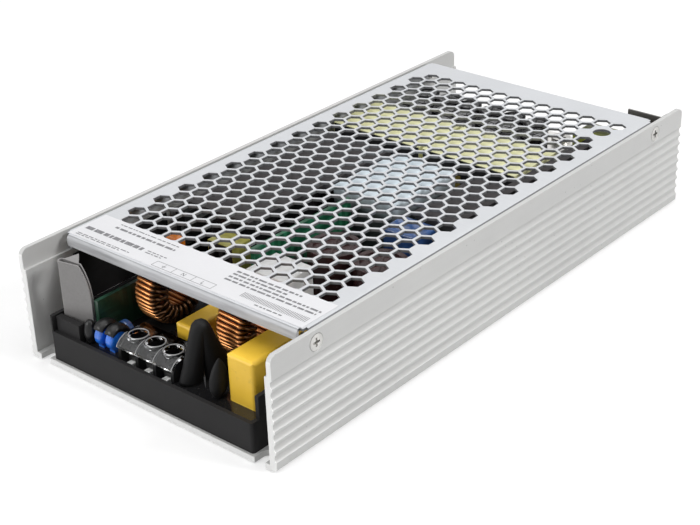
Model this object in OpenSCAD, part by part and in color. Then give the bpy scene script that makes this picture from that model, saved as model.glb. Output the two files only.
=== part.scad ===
/* [Chassis] */
// Overall width across the two ribbed walls
body_w = 115; // [106:0.5:130]
// Overall length of the extruded channel
body_l = 240; // [228:1:280]
// Overall height, up to the top of the walls
body_h = 41; // [38.5:0.5:50]
// Thickness of the base
base_t = 2; // [1.5:0.1:3]
// Thickness of the walls below the ledge
wall_t = 2.7; // [2.4:0.1:3.5]
// Thickness of the thin rim above the ledge
rim_t = 1.7; // [1.3:0.1:1.9]
// Height of the thin rim above the ledge
rim_h = 7.3; // [6.5:0.1:9]
// Radius of the upper wall corners at both ends
rim_r = 2.8; // [1:0.1:4]
// Radius of the long lower outer edges
edge_r = 1.6; // [0.5:0.1:2]
// Plain band above the grooves
band_h = 8.2; // [7:0.1:12]
// Plain strip below the grooves
strip_h = 3.6; // [3:0.1:6]
// Width of one shallow groove
groove_w = 2.9; // [2:0.1:3.4]
// Depth of one shallow groove
groove_d = 0.7; // [0.3:0.05:1]
// Spacing of the grooves
groove_pitch = 3.75; // [3.5:0.05:6]
// Width of the open mounting slots in the base corners
slot_w = 4.6; // [4:0.1:5.5]
// Depth of the mounting slots from the end
slot_l = 6; // [5:0.1:9]
// Width of the foot between a slot and the outer wall
foot_w = 4.7; // [4:0.1:7]

/* [Cover] */
// Thickness of the cover sheet
cover_t = 1; // [0.8:0.05:1.2]
// Gap between the cover and each rim
cover_gap = 0.2; // [0.1:0.05:0.4]
// Distance from the end of the chassis to the cover
cover_inset = 17; // [14:0.5:19]
// Outer radius of the cover's bends
cover_bend = 1.6; // [1.4:0.1:2.5]
// Drop of the end lips below the top
lip_drop = 4; // [3:0.1:6]
// Width of the relief notch at the cover's corners
relief_w = 1.4; // [0.8:0.1:3]

/* [Grille] */
// Width of one hexagonal hole across its flats
hex_af = 6; // [4:0.1:8]
// Width of the web between two holes
hex_web = 1; // [0.8:0.1:2]
// Distance from the cover's front edge to the first row's centre
grille_front = 21.3; // [19:0.1:40]
// Distance from the cover's rear edge to the last row's centre
grille_rear = 14.9; // [10:0.1:40]
// Distance from the cover's side to the outermost hole's centre
grille_side = 8.3; // [7:0.1:20]
// Diameter of the round access hole
access_d = 7; // [4:0.1:9]
// Distance of the access hole from the cover's right side
access_side = 10.3; // [8:0.1:30]
// Distance of the access hole from the cover's rear edge
access_rear = 23.3; // [12:0.1:60]

/* [Label] */
// Thickness of the label
label_t = 0.15; // [0.1:0.05:0.3]
// Length of the label along the supply
label_l = 17; // [8:0.5:18]
// Margin between the label and the cover's sides
label_side = 2.2; // [1.7:0.1:20]

/* [Cover screws] */
// Diameter of the screw shank
screw_d = 2.8; // [2:0.1:3]
// Clearance of the shank in its holes, on the diameter
screw_play = 0.4; // [0.2:0.1:0.8]
// Diameter of the countersunk head
screw_head_d = 5.8; // [5:0.1:6.5]
// Length of the screw, head included
screw_l = 6; // [4:0.5:10]
// Distance of the screws from the ends of the chassis
screw_end = 20.5; // [19.5:0.1:40]
// Distance of the screws from the top of the walls
screw_drop = 4.3; // [3.6:0.1:4.6]

/* [Tray and board] */
// Thickness of the tray's floor
tray_t = 1; // [0.6:0.1:2]
// Thickness of the tray's walls
tray_wall = 1.5; // [1:0.1:2]
// Width of the narrow ends of the tray, which clear the mounting slots
tray_end_w = 94; // [92:0.5:95]
// Length of the narrow ends of the tray
tray_end_l = 19; // [17:0.5:22]
// Distance from the end of the chassis to the tray
tray_inset = 1; // [0.4:0.1:1.5]
// Outer corner radius of the tray
tray_r = 1.2; // [0.6:0.1:3]
// Gap between the tray and the chassis walls
tray_gap = 0.4; // [0.2:0.1:1]
// Height of the tray's end walls above the base
tray_front_h = 11; // [11:0.5:14]
// Height of the tray's raised right wall above the base
tray_side_h = 19; // [16:0.5:24]
// Setback of the raised right wall from the tray's ends
tray_setback = 3.6; // [3.1:0.1:6]
// Height of the tray's raised left wall above the base
tray_left_h = 16.7; // [14:0.1:20]
// Height of the potting compound above the base
pot_h = 10; // [8:0.5:10.5]
// Height of the board above the tray's floor
board_lift = 3; // [2:0.1:4]
// Thickness of the circuit boards
board_t = 1.6; // [1:0.1:2]
// Gap between the main board and the tray's walls
board_gap = 0.5; // [0.3:0.1:1.5]
// Width of the tray's ribs under the board
rib_w = 4; // [2:0.5:8]

/* [Mains terminal block] */
// Spacing of the three terminals
term_pitch = 8.25; // [7.5:0.05:8.5]
// Thickness of the block's partitions
term_wall = 1.3; // [0.8:0.1:1.8]
// Length of the block
term_l = 13.6; // [12.5:0.1:15]
// Height of the clear cover's top above the board
term_h = 12.4; // [11.5:0.1:14]
// Centre of the block across the supply
term_x = -3; // [-4:0.5:-1]
// Distance from the end of the chassis to the block
term_inset = 2.6; // [2.6:0.1:3.5]
// Thickness of the clear cover
clear_t = 1; // [0.8:0.1:1.2]
// Outer radius of the clear cover's curved front
clear_r = 6; // [5:0.1:6.5]
// Angle at which the curved front ends, above level
clear_lift = 25; // [10:1:40]
// Diameter of the screwdriver holes in the clear cover
driver_d = 6.4; // [5:0.1:6.6]
// Wall of the raised collars round the screwdriver holes
collar_t = 0.6; // [0.4:0.05:0.7]
// Diameter of the terminal screws' heads
term_screw_d = 6; // [4:0.1:6.2]
// Thickness of the wire clamps
clamp_t = 1.2; // [0.8:0.1:1.6]
// Height of the terminals' bed above the board
bed_h = 2.4; // [1.6:0.1:2.8]
// Height of the metal saddle under each wire clamp
saddle_h = 1.6; // [1:0.1:2]
// Setback of the wire clamps from the block's front
clamp_set = 4.2; // [3.6:0.1:4.4]
// Width of the tongue in front of each wire clamp
tongue_w = 2.4; // [2:0.1:5]

/* [Filter chokes] */
// Diameter of the enamelled wire
wire_d = 1.45; // [1:0.05:1.5]
// Number of turns round each ring, with two gaps
choke_turns = 44; // [24:4:46]
// Gap between the windings and the cover
choke_gap = 2; // [1:0.1:6]
// Gap between the wire and the ring it is wound on
core_gap = 0.2; // [0.15:0.05:0.3]
// Width of the left ring's core
choke_left_w = 6.4; // [4:0.1:8]
// Width of the right ring's core
choke_right_w = 9; // [6:0.1:10]
// Centre of the left ring across the supply
choke_left_x = -21; // [-21.5:0.1:-18]
// Centre of the right ring across the supply
choke_right_x = 18.5; // [16:0.1:18.5]
// Distance from the front end to both windings
choke_inset = 20.5; // [19.5:0.1:24]
// Depth of the ring's section in wire widths
ring_depth = 2.8; // [2.6:0.1:3.4]
// Step of the inner layer of turns in wire widths
layer_step = 1.15; // [1.05:0.05:1.2]

/* [Filter capacitors] */
// Width of the large yellow capacitor
xcap_w = 11.5; // [9:0.1:12]
// Length of the large yellow capacitor
xcap_l = 31; // [20:0.5:36]
// Height of the large yellow capacitor above the board
xcap_h = 21.5; // [16:0.1:24]
// Gap between the large yellow capacitor and the tray's right wall
xcap_gap = 3.5; // [0.5:0.1:3.8]
// Distance from the front end to the large yellow capacitor
xcap_inset = 8; // [7:0.1:14]
// Width of the small yellow capacitor
xcap2_w = 8.5; // [6:0.1:9]
// Length of the small yellow capacitor
xcap2_l = 18; // [14:0.5:24]
// Height of the small yellow capacitor above the board
xcap2_h = 14.6; // [10:0.1:18]
// Centre of the small yellow capacitor across the supply
xcap2_x = -1; // [-3:0.1:0]
// Distance from the front end to the small yellow capacitor
xcap2_inset = 20; // [18.5:0.1:24]
// Edge radius of the moulded capacitor boxes
box_r = 1.4; // [0.6:0.1:2]

/* [Small front parts] */
// Diameter of the two blue varistors
disc_d = 8; // [7:0.1:10]
// Thickness of the blue varistors
disc_t = 3.6; // [2.5:0.1:4]
// Distance from the front end to the varistors' centres
disc_inset = 7.6; // [7.4:0.1:9]
// Spacing of the varistors across the supply
disc_pitch = 5.4; // [5.4:0.1:5.8]
// Gap between the varistors and the terminal block
disc_gap = 2.8; // [1.2:0.1:2.8]
// Gap that thin and round parts keep from their neighbours
fit_gap = 0.3; // [0.2:0.05:0.4]
// Wall of the black shrink sleeves
sleeve_t = 0.5; // [0.3:0.05:0.6]
// Reach of the varistors' sleeves forward of their centres
sleeve_reach = 2; // [0:0.1:2.5]
// Height of the tall bent sleeve above the potting
bend_h = 22; // [16:0.5:23]
// Spread of the tall bent sleeve's feet
bend_l = 9.5; // [8:0.1:10]
// Diameter of the tall bent sleeve
bend_d = 5.6; // [3:0.1:5.8]
// Distance from the terminal block to the tall bent sleeve
bend_gap = 5.6; // [5.2:0.1:6.2]
// Sideways lean of the tall bent sleeve's feet
bend_splay = 2; // [0:0.1:2.2]
// Height of the sleeved thermistor above the potting
leaf_h = 14; // [10:0.5:18]
// Length of the sleeved thermistor along the supply
leaf_l = 8.5; // [7:0.1:9.5]
// Thickness of the sleeved thermistor
leaf_t = 4.6; // [3:0.1:5]
// Gap between the sleeved thermistor and the large capacitor
leaf_gap = 0.8; // [0.3:0.1:1.4]
// Gap between the sleeved thermistor and the tray's front wall
leaf_front = 0.6; // [0.4:0.1:3]
// Height of the upright filter board above the main board
filter_h = 18.6; // [14:0.1:22]
// Length of the upright filter board
filter_l = 24; // [16:0.5:28]
// Place of the upright filter board across the supply
filter_x = -31; // [-31.5:0.1:-30.5]
// Distance from the front end to the upright filter board
filter_inset = 9; // [8.5:0.1:12]
// Thickness of the grey folded insulator
fold_t = 0.5; // [0.3:0.05:0.8]
// Radius of the rolled edge of the grey folded insulator
fold_r = 1.4; // [1.2:0.1:1.6]
// Turn of the grey folded insulator, its tip backwards
fold_turn = 8.7; // [6:0.1:10]
// Drop of the grey folded insulator's top below the walls
fold_drop = 2.6; // [2:0.1:8]
// Width of the flap at the top of the grey folded insulator
flap_w = 7; // [5:0.1:7.4]
// Reach of the flap to the rear
flap_l = 6.3; // [4:0.1:8]
// Place of the flap's tip along the fold
flap_x = 2.1; // [0:0.1:4]
// Height of the black barrier in front of the grey insulator
barrier_h = 6.5; // [3:0.1:8]
// Thickness of the black barrier
barrier_t = 2.5; // [1:0.1:2.8]
// Width of the sleeved fuse beside the varistors
fuse_d = 4.4; // [3.5:0.1:4.6]
// Height of the sleeved fuse above the potting
fuse_h = 8.6; // [6:0.1:12]
// Diameter of the small blue capacitor behind the varistors
small_disc_d = 7; // [5:0.1:8]
// Thickness of the small blue capacitor
small_disc_t = 2.6; // [2:0.1:3]
// Thickness of the black liner on the left wall
liner_t = 0.5; // [0.3:0.1:1]

/* [Converter parts] */
// Gap between the ring chokes and the parts behind them
zone_gap = 1; // [0.5:0.1:3]
// Width, length and height of the orange capacitor
orange_size = [6, 5, 25]; // [4:0.5:26]
// Centre of the orange capacitor across the supply
orange_x = -35; // [-36:0.5:-30]
// Width, length and height of the white relay
relay_size = [17, 15, 25]; // [8:0.5:26]
// Centre of the relay across the supply
relay_x = 10; // [9.5:0.5:14]
// Width, length and height of the standby transformer
standby_size = [12, 9, 25]; // [8:0.5:26]
// Centre of the standby transformer across the supply
standby_x = -18; // [-20:0.5:-14]
// Distance of the standby transformer behind the front of its row
standby_set = 7.5; // [2:0.5:9]
// Thickness of the tape on the transformers
tape_t = 0.3; // [0.2:0.05:0.5]
// Gap between the cover and the tallest parts
head_gap = 2.6; // [1.5:0.1:6]
// Diameter of the two dark input capacitors
input_cap_d = 19; // [14:0.5:19]
// Height of the input capacitors above the board
input_cap_h = 25; // [16:0.5:28]
// Width of the blue input choke
boost_w = 29.5; // [24:0.5:30.5]
// Length of the blue input choke
boost_l = 36.5; // [24:0.5:38]
// Centre of the blue input choke across the supply
boost_x = 2.5; // [2:0.1:4]
// Gap between the blue input choke and the main transformers
boost_gap = 8.7; // [4:0.1:10]
// Gap between the blue input choke and the right heat pad
boost_side = 8.5; // [7:0.1:9]
// Gap left between neighbouring parts
part_gap = 2; // [1:0.1:2.4]
// Place of the upright control board across the supply
control_x = -2.5; // [-3:0.1:-1.5]
// Height of the upright control board above the main board
control_h = 28; // [20:0.5:28.5]
// Diameter of the bulk capacitors
bulk_d = 24.5; // [18:0.5:25]
// Reach of the left heat pad behind the last bulk capacitor
pad_over = 0.2667; // [0.1:0.0001:1]
// Thickness of the grey heat-spreading pads
pad_t = 2; // [1:0.1:3]
// Width of the right heat pad's strip beside the main transformers
strip_w = 4.8; // [3:0.1:6]
// Reach of that strip behind the blue input choke
strip_l = 56; // [40:0.5:58]
// Space kept along each wall for the power transistors
wall_space = 10.5; // [10:0.1:11]
// Width and length of the blue capacitor
blue_size = [16, 12]; // [8:0.5:25]
// Height of the blue capacitor above the board
blue_h = 28; // [15:0.5:29]
// Length of the main transformers
trafo_l = 28; // [20:0.5:30]
// Gap between the two main transformers
trafo_gap = 1.5; // [1:0.1:4]
// Gap between the left main transformer and the tray's wall
trafo_side = 2.4; // [2:0.1:6]
// Distance from the rear end to the main transformers
trafo_rear = 59; // [58:0.5:64]

/* [Power transistors] */
// Width of one transistor along the wall
fet_w = 15; // [10:0.5:16]
// Height of one transistor
fet_h = 15; // [10:0.5:17]
// Thickness of one transistor
fet_t = 4.8; // [4:0.1:5]
// Number of transistors on each wall
fet_n = 4; // [2:1:4]
// Height of the transistors above the potting
fet_lift = 3; // [2:0.5:3]
// Thickness of the thermal pads on the walls
wall_pad_t = 0.5; // [0.3:0.1:0.8]
// Thickness of the clamp bars
bar_t = 2; // [1.5:0.1:2.4]
// Height of the clamp bars
bar_h = 8; // [6:0.5:10]

/* [Output end] */
// Diameter of the output capacitors
out_cap_d = 10; // [6:0.5:10]
// Height of the output capacitors above the board
out_cap_h = 26; // [12:0.5:27]
// Spacing of the output capacitors
out_cap_pitch = 11; // [10.6:0.1:12]
// Number of rows of output capacitors
out_cap_rows = 3; // [1:1:3]
// Width, length and height of the output choke
out_choke_size = [18, 14, 26]; // [8:0.5:27]
// Gap between the output choke and the right wall of the tray
out_choke_side = 10; // [9:0.5:14]
// Gap between the output choke and the rear wall of the tray
out_choke_rear = 15.5; // [13:0.5:20]
// Width of one output busbar
bus_w = 22; // [16:0.5:26]
// Thickness of the output busbars
bus_t = 2; // [1.5:0.1:3]
// Length of the output busbars' flat
bus_l = 14; // [10:0.5:15]
// Height of the output busbars above the potting
bus_z = 3; // [2:0.1:5]
// Space between the two output busbars
bus_gap = 6; // [4:0.5:10]
// Place of the pair of busbars across the supply
bus_x = -12; // [-14:0.5:-8]
// Diameter of the output screws
bus_screw_d = 4; // [3:0.1:5]
// Diameter of the output screws' heads
bus_head_d = 8; // [6:0.1:9]
// Width of the signal connector
plug_w = 14; // [10:0.5:18]
// Length of the signal connector
plug_l = 6; // [5:0.1:8]
// Height of the signal connector above the potting
plug_h = 7; // [5:0.1:10]
// Thickness of the signal connector's floor
plug_floor = 1.5; // [1:0.1:2]
// Place of the signal connector across the supply
plug_x = 34; // [30:0.5:35]
// Thickness of the rear corner insulator
film_t = 0.8; // [0.4:0.1:1]
// Width of the rear corner insulator
film_w = 15.5; // [8:0.5:16]
// Depth of the rear corner insulator along the wall
film_l = 5; // [3:0.5:8]
// Drop of the rear corner insulator's top below the walls
film_drop = 1.4; // [1:0.1:8]
// Distance of the rear corner insulator behind the cover
film_gap = 6; // [4:0.1:6.5]

/* [Hidden] */
$fn = 64;

// Small overlap that carries a cut past the face it opens
eps = 0.1;
front_y = -body_l / 2;
rear_y = body_l / 2;
in_x = body_w / 2 - wall_t;
rim_x = body_w / 2 - rim_t;
ledge_z = body_h - rim_h;
cover_w = 2 * (rim_x - cover_gap);
cover_l = body_l - 2 * cover_inset;
cover_y = cover_l / 2;
under_z = body_h - cover_t;
screw_y = rear_y - screw_end;
screw_z = body_h - screw_drop;
groove_n = floor((body_h - band_h - strip_h - groove_w) / groove_pitch + 0.02) + 1;
groove_r = (groove_w * groove_w / 4 + groove_d * groove_d) / (2 * groove_d);
slot_x = body_w / 2 - foot_w - slot_w / 2;

hex_r = hex_af / sqrt(3);
hex_pitch = hex_af + hex_web;
hex_row = hex_pitch * sqrt(3) / 2;
grille_cols = floor((cover_w - 2 * grille_side - hex_pitch / 2) / hex_pitch + 0.02) + 1;
grille_rows = floor((cover_l - grille_front - grille_rear) / hex_row + 0.02) + 1;
grille_x = -((grille_cols - 1) * hex_pitch + hex_pitch / 2) / 2;
access_x = cover_w / 2 - access_side;
access_y = cover_y - access_rear;

tray_z = base_t + tray_t;
tray_y = rear_y - tray_inset;
tray_mid_x = in_x - tray_gap;
tray_mid_y = tray_y - tray_end_l;
tray_in = tray_end_w / 2 - tray_wall;
rib_x = 0.65 * tray_in;
board_z = tray_z + board_lift;
board_top = board_z + board_t;
pot_top = base_t + pot_h;

term_w = 3 * term_pitch + term_wall;
term_y = front_y + term_inset;
term_top = board_top + term_h;
term_bed = board_top + bed_h;
clamp_z = term_bed + saddle_h;
driver_y = term_y + clear_r + term_wall / 2;

choke_seat = pot_top;
choke_top = under_z - choke_gap;
choke_z = (choke_seat + choke_top) / 2;
choke_ro = (choke_top - choke_seat) / 2 - wire_d / 2;
choke_ri = choke_ro - ring_depth * wire_d;
choke_ri2 = choke_ri - layer_step * wire_d;
choke_y = front_y + choke_inset + choke_ro + wire_d / 2;
wire_bend = 0.9 * wire_d;

xcap_x = tray_in - xcap_gap - xcap_w / 2;
xcap_y = front_y + xcap_inset + xcap_l / 2;
xcap2_y = front_y + xcap2_inset + xcap2_l / 2;
disc_x = term_x - term_w / 2 - disc_gap - disc_t / 2;
disc_y = front_y + disc_inset;
bend_x = term_x + term_w / 2 + bend_gap;
bend_y = term_y + bend_l;
leaf_y = -tray_y + tray_wall + leaf_front + leaf_l / 2;
leaf_x = xcap_x - xcap_w / 2 - leaf_gap - leaf_t / 2;
barrier_y = -tray_y + tray_wall;
fold_x = -tray_in + fit_gap + fold_r;
fold_y = barrier_y + barrier_t + 2 * fit_gap + fold_r;
fold_h = body_h - fold_drop - pot_top;
fold_tip = (filter_x - board_t / 2 - 2 * fit_gap - fold_x) / cos(fold_turn);
fold_slit = fold_t / 3;
fuse_x = filter_x;
fuse_y0 = barrier_y + 2 * fit_gap;
fuse_y1 = fold_y + fold_tip * sin(fold_turn) - 2 * fold_t - fit_gap;

zone_y = choke_y + choke_ro + wire_d / 2 + zone_gap;
orange_y = zone_y + orange_size[1] / 2;
relay_y = zone_y + relay_size[1] / 2;
standby_y = zone_y + standby_set + standby_size[1] / 2;
trafo_y1 = rear_y - trafo_rear;
trafo_y0 = trafo_y1 - trafo_l;
trafo_x = tray_mid_x - tray_wall - trafo_side;
tall_z = under_z - head_gap;
boost_y1 = trafo_y0 - boost_gap;
input_cap_end = relay_y + relay_size[1] / 2 + input_cap_d + 2 * part_gap;
boost_y0 = max(boost_y1 - boost_l, input_cap_end + blue_size[1] + part_gap / 2);
boost_run = boost_y1 - boost_y0;
control_y0 = standby_y - standby_size[1] / 2;
control_y1 = boost_y0 - part_gap;
left_x0 = -in_x + wall_space;
left_x1 = boost_x - boost_w / 2 - part_gap;
right_x0 = boost_x + boost_w / 2 + boost_side;
right_x1 = in_x - wall_space;
strip_x = right_x1 - strip_w;
trafo_w = (strip_x - part_gap + trafo_x - trafo_gap) / 2;
bulk_x = (left_x0 + left_x1) / 2;
bulk_y0 = standby_y + standby_size[1] / 2 + part_gap;
bulk_n = floor((boost_y1 - bulk_y0 + part_gap) / (bulk_d + part_gap));
bulk_pitch = (boost_y1 - bulk_y0 - bulk_d - pad_over) / max(bulk_n - 1, 1);
pad_z = tall_z - pad_t;
res_l = (boost_run - part_gap) / 2;
blue_x = right_x0 - 2 * part_gap + blue_size[0] / 2;
blue_y = boost_y0 - part_gap / 2 - blue_size[1] / 2;
input_cap_y = (relay_y + relay_size[1] / 2 + blue_y - blue_size[1] / 2) / 2;
fet_x = in_x - wall_pad_t - fet_t;
fet_z = pot_top + fet_lift;
fet_span = boost_y1 - bulk_y0;
bar_z = fet_z + (fet_h - bar_h) / 2;

out_cap_x0 = -trafo_x + out_cap_d / 2;
out_cap_y0 = trafo_y1 + part_gap + out_cap_d / 2;
out_cap_n = floor((trafo_x + trafo_x / 3) / out_cap_pitch);
out_choke_x = tray_mid_x - out_choke_side - out_choke_size[0] / 2;
out_choke_y = tray_y - tray_wall - out_choke_rear - out_choke_size[1] / 2;
bus_y1 = tray_y - tray_wall - board_gap;
bus_y0 = bus_y1 - bus_l;
bus_top = pot_top + bus_z + bus_t;
plug_y = tray_y - tray_wall - 2 * board_gap - plug_l / 2;
film_y = cover_y + film_gap;
film_h = body_h - film_drop - base_t;

// Plan of a rectangle with rounded corners, centred
module round_rect(w, l, r) {
    square([w - 2 * r, l], center = true);
    square([w, l - 2 * r], center = true);
    for (sx = [-1, 1])
        for (sy = [-1, 1])
            translate([sx * (w / 2 - r), sy * (l / 2 - r)])
                circle(r);
}

// Upright outline with its foot on the axis and both top corners rounded
module top_round(w, h, r) {
    translate([-w / 2, 0])
        square([w, h - r]);
    translate([-w / 2 + r, 0])
        square([w - 2 * r, h]);
    for (sx = [-1, 1])
        translate([sx * (w / 2 - r), h - r])
            circle(r);
}

// Moulded box with all edges rounded but the lower ones
module soft_box(w, l, h, r) {
    intersection() {
        linear_extrude(h)
            round_rect(w, l, r);
        rotate([90, 0, 0])
            linear_extrude(l + 2, center = true)
                top_round(w, h, r);
        rotate([90, 0, 90])
            linear_extrude(w + 2, center = true)
                top_round(l, h, r);
    }
}

// Can of a radial capacitor: rolled groove near the foot and a vented, dished top
module can(d, h) {
    vent_w = d / 18;
    difference() {
        cylinder(d = d, h = h);
        translate([0, 0, h - vent_w])
            cylinder(d = d * 0.78, h = vent_w + eps);
        translate([0, 0, d / 7])
            rotate_extrude()
                translate([d / 2 + vent_w / 4, 0])
                    circle(vent_w / 2, $fn = 24);
    }
    translate([0, 0, h - vent_w])
        for (a = [0, 60, 120])
            rotate(a)
                translate([-d * 0.3, -vent_w / 4, 0])
                    cube([d * 0.6, vent_w / 2, vent_w / 2]);
}

// Cross-section of the extruded channel
module channel_profile() {
    difference() {
        translate([-body_w / 2, 0])
            square([body_w, body_h]);
        translate([-in_x, base_t])
            square([2 * in_x, body_h]);
        translate([-rim_x, ledge_z])
            square([2 * rim_x, body_h]);
        for (s = [0, 1])
            mirror([s, 0]) {
                for (i = [0:groove_n - 1])
                    translate([body_w / 2 + groove_r - groove_d,
                        body_h - band_h - groove_w / 2 - i * groove_pitch])
                        circle(groove_r);
                difference() {
                    translate([body_w / 2 - edge_r, -eps])
                        square([edge_r + eps, edge_r + eps]);
                    translate([body_w / 2 - edge_r, edge_r])
                        circle(edge_r);
                }
            }
    }
}

// Rounding cut for the upper wall corners, across the whole width
module rim_corner() {
    rotate([90, 0, 90])
        linear_extrude(body_w + 2, center = true)
            difference() {
                translate([rear_y - rim_r, body_h - rim_r])
                    square(rim_r + eps);
                translate([rear_y - rim_r, body_h - rim_r])
                    circle(rim_r);
            }
}

// Mounting slot, open to the end of the base
module base_slot() {
    translate([slot_x, rear_y - slot_l + slot_w / 2, -eps])
        linear_extrude(base_t + 2 * eps) {
            circle(d = slot_w);
            translate([-slot_w / 2, 0])
                square([slot_w, slot_l]);
        }
}

// Countersunk hole through a rim, for a cover screw
module rim_hole() {
    play = screw_play / 2;
    head = (screw_head_d - screw_d) / 2;
    translate([body_w / 2, screw_y, screw_z])
        rotate([0, -90, 0]) {
            translate([0, 0, -eps])
                cylinder(d = screw_d + screw_play, h = wall_t + 2 * eps);
            translate([0, 0, -eps])
                cylinder(d1 = screw_head_d + 2 * play + 2 * eps, d2 = screw_d + 2 * play, h = head + eps);
        }
}

module four_corners() {
    for (sx = [0, 1])
        for (sy = [0, 1])
            mirror([sx, 0, 0])
                mirror([0, sy, 0])
                    children();
}

module chassis() {
    color("silver")
        difference() {
            rotate([90, 0, 0])
                linear_extrude(body_l, center = true)
                    channel_profile();
            for (s = [0, 1])
                mirror([0, s, 0])
                    rim_corner();
            four_corners() {
                base_slot();
                rim_hole();
            }
        }
}

// Bent edge of the cover: a quarter bend that runs on into a straight flange
module bent_edge(drop) {
    intersection() {
        difference() {
            circle(cover_bend);
            circle(cover_bend - cover_t);
        }
        square(cover_bend);
    }
    translate([cover_bend - cover_t, -(drop - cover_bend)])
        square([cover_t, drop - cover_bend]);
}

// One hexagon stays out where the round access hole takes its room
function keeps(x, y) = norm([x - access_x, y - access_y]) > access_d / 2 + hex_r + hex_web / 2;

module grille_holes() {
    for (j = [0:grille_rows - 1])
        for (i = [0:grille_cols - 1]) {
            x = grille_x + i * hex_pitch + (j % 2 == 0 ? hex_pitch / 2 : 0);
            y = -cover_y + grille_front + j * hex_row;
            if (keeps(x, y))
                translate([x, y])
                    rotate(30)
                        circle(hex_r, $fn = 6);
        }
    translate([access_x, access_y])
        circle(d = access_d);
}

module top_cover() {
    flat_w = cover_w - 2 * cover_bend;
    flat_l = cover_l - 2 * cover_bend;
    color("gainsboro")
        difference() {
            union() {
                translate([0, 0, under_z])
                    linear_extrude(cover_t)
                        difference() {
                            square([flat_w, flat_l], center = true);
                            grille_holes();
                        }
                for (s = [0, 1])
                    mirror([s, 0, 0])
                        translate([flat_w / 2, 0, body_h - cover_bend])
                            rotate([90, 0, 0])
                                linear_extrude(flat_l - 2 * relief_w, center = true)
                                    bent_edge(rim_h);
                for (s = [0, 1])
                    mirror([0, s, 0])
                        translate([0, flat_l / 2, body_h - cover_bend])
                            rotate([90, 0, 90])
                                linear_extrude(flat_w - 2 * relief_w, center = true)
                                    bent_edge(lip_drop);
            }
            four_corners()
                translate([cover_w / 2 + eps, screw_y, screw_z])
                    rotate([0, -90, 0])
                        cylinder(d = screw_d + screw_play, h = cover_t + 2 * eps);
        }
}

module rating_label() {
    label_y = -cover_y + cover_bend;
    color("white")
        translate([-cover_w / 2 + label_side, label_y, body_h])
            cube([cover_w - 2 * label_side, label_l, label_t]);
}

// Countersunk screw with a cross recess, its head at the origin and its shank along Z
module countersunk_screw() {
    head = (screw_head_d - screw_d) / 2;
    cross_w = screw_d * 0.28;
    cross_l = screw_d * 1.1;
    difference() {
        union() {
            cylinder(d1 = screw_head_d, d2 = screw_d, h = head);
            cylinder(d = screw_d, h = screw_l);
        }
        for (a = [0, 90])
            rotate(a)
                translate([-cross_l / 2, -cross_w / 2, -eps])
                    cube([cross_l, cross_w, head * 0.7 + eps]);
    }
}

module cover_screws() {
    color("lightgray")
        four_corners()
            translate([body_w / 2, screw_y, screw_z])
                rotate([0, -90, 0])
                    countersunk_screw();
}

// Plan of the tray, drawn in from its outside by the given inset
module tray_plan(inset) {
    inner_r = 0.4;
    round_rect(tray_end_w - 2 * inset, 2 * (tray_y - inset), max(tray_r - inset, inner_r));
    square([2 * (tray_mid_x - inset), 2 * (tray_mid_y - inset)], center = true);
}

// Wall of the tray, up to the given height, kept at both ends inside a span across and a span along
module tray_ring(h, across, along) {
    linear_extrude(h)
        intersection() {
            difference() {
                tray_plan(0);
                tray_plan(tray_wall);
            }
            for (s = [0, 1])
                mirror([0, s])
                    translate([across[0], along[0]])
                        square([across[1] - across[0], along[1] - along[0]]);
        }
}

module insulating_tray() {
    full = [-body_w / 2, body_w / 2];
    color([0.12, 0.12, 0.13])
        translate([0, 0, base_t]) {
            linear_extrude(tray_t)
                tray_plan(0);
            tray_ring(pot_h, full, [0, tray_y]);
            tray_ring(tray_front_h, full, [tray_y - tray_setback - tray_wall, tray_y]);
            tray_ring(tray_side_h, [tray_in, body_w / 2], [tray_mid_y, tray_y - tray_setback]);
            tray_ring(tray_left_h, [-body_w / 2, -tray_in], [tray_mid_y, tray_y]);
            for (sx = [-1, 1])
                translate([sx * rib_x - rib_w / 2, -tray_mid_y, tray_t])
                    cube([rib_w, 2 * tray_mid_y, board_lift]);
        }
}

module main_board() {
    color("darkgreen")
        translate([0, 0, board_z])
            linear_extrude(board_t)
                tray_plan(tray_wall + board_gap);
}

// Rectangular feet that stand on the main board: centre and size in plan
function feet() = [
    [term_x, term_y + term_l / 2, term_w, term_l],
    [xcap_x, xcap_y, xcap_w, xcap_l],
    [xcap2_x, xcap2_y, xcap2_w, xcap2_l],
    [choke_left_x, choke_y, base_w(choke_left_w), base_l()],
    [choke_right_x, choke_y, base_w(choke_right_w), base_l()],
    [filter_x, front_y + filter_inset + filter_l / 2, board_t, filter_l],
    [orange_x, orange_y, orange_size[0], orange_size[1]],
    [relay_x, relay_y, relay_size[0], relay_size[1]],
    [standby_x, standby_y, standby_size[0], standby_size[1]],
    [boost_x, (boost_y0 + boost_y1) / 2, boost_w, boost_run],
    [control_x, (control_y0 + control_y1) / 2, board_t, control_y1 - control_y0],
    [blue_x, blue_y, blue_size[0], blue_size[1]],
    [(right_x0 + right_x1) / 2, boost_y0 + res_l / 2, right_x1 - right_x0, res_l],
    [(right_x0 + right_x1) / 2, boost_y1 - res_l / 2, right_x1 - right_x0, res_l],
    [trafo_place(0), (trafo_y0 + trafo_y1) / 2, trafo_w, trafo_l],
    [trafo_place(1), (trafo_y0 + trafo_y1) / 2, trafo_w, trafo_l],
    [out_choke_x, out_choke_y, out_choke_size[0], out_choke_size[1]]
];

// Round feet that stand on the main board: centre and diameter
function round_feet() = concat(
    [for (i = [0:bulk_n - 1]) [bulk_x, bulk_y0 + bulk_d / 2 + i * bulk_pitch, bulk_d]],
    [for (i = [0, 1]) [input_cap_x(i), input_cap_y, input_cap_d]],
    [for (p = out_cap_places()) [p[0], p[1], out_cap_d]]
);

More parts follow.
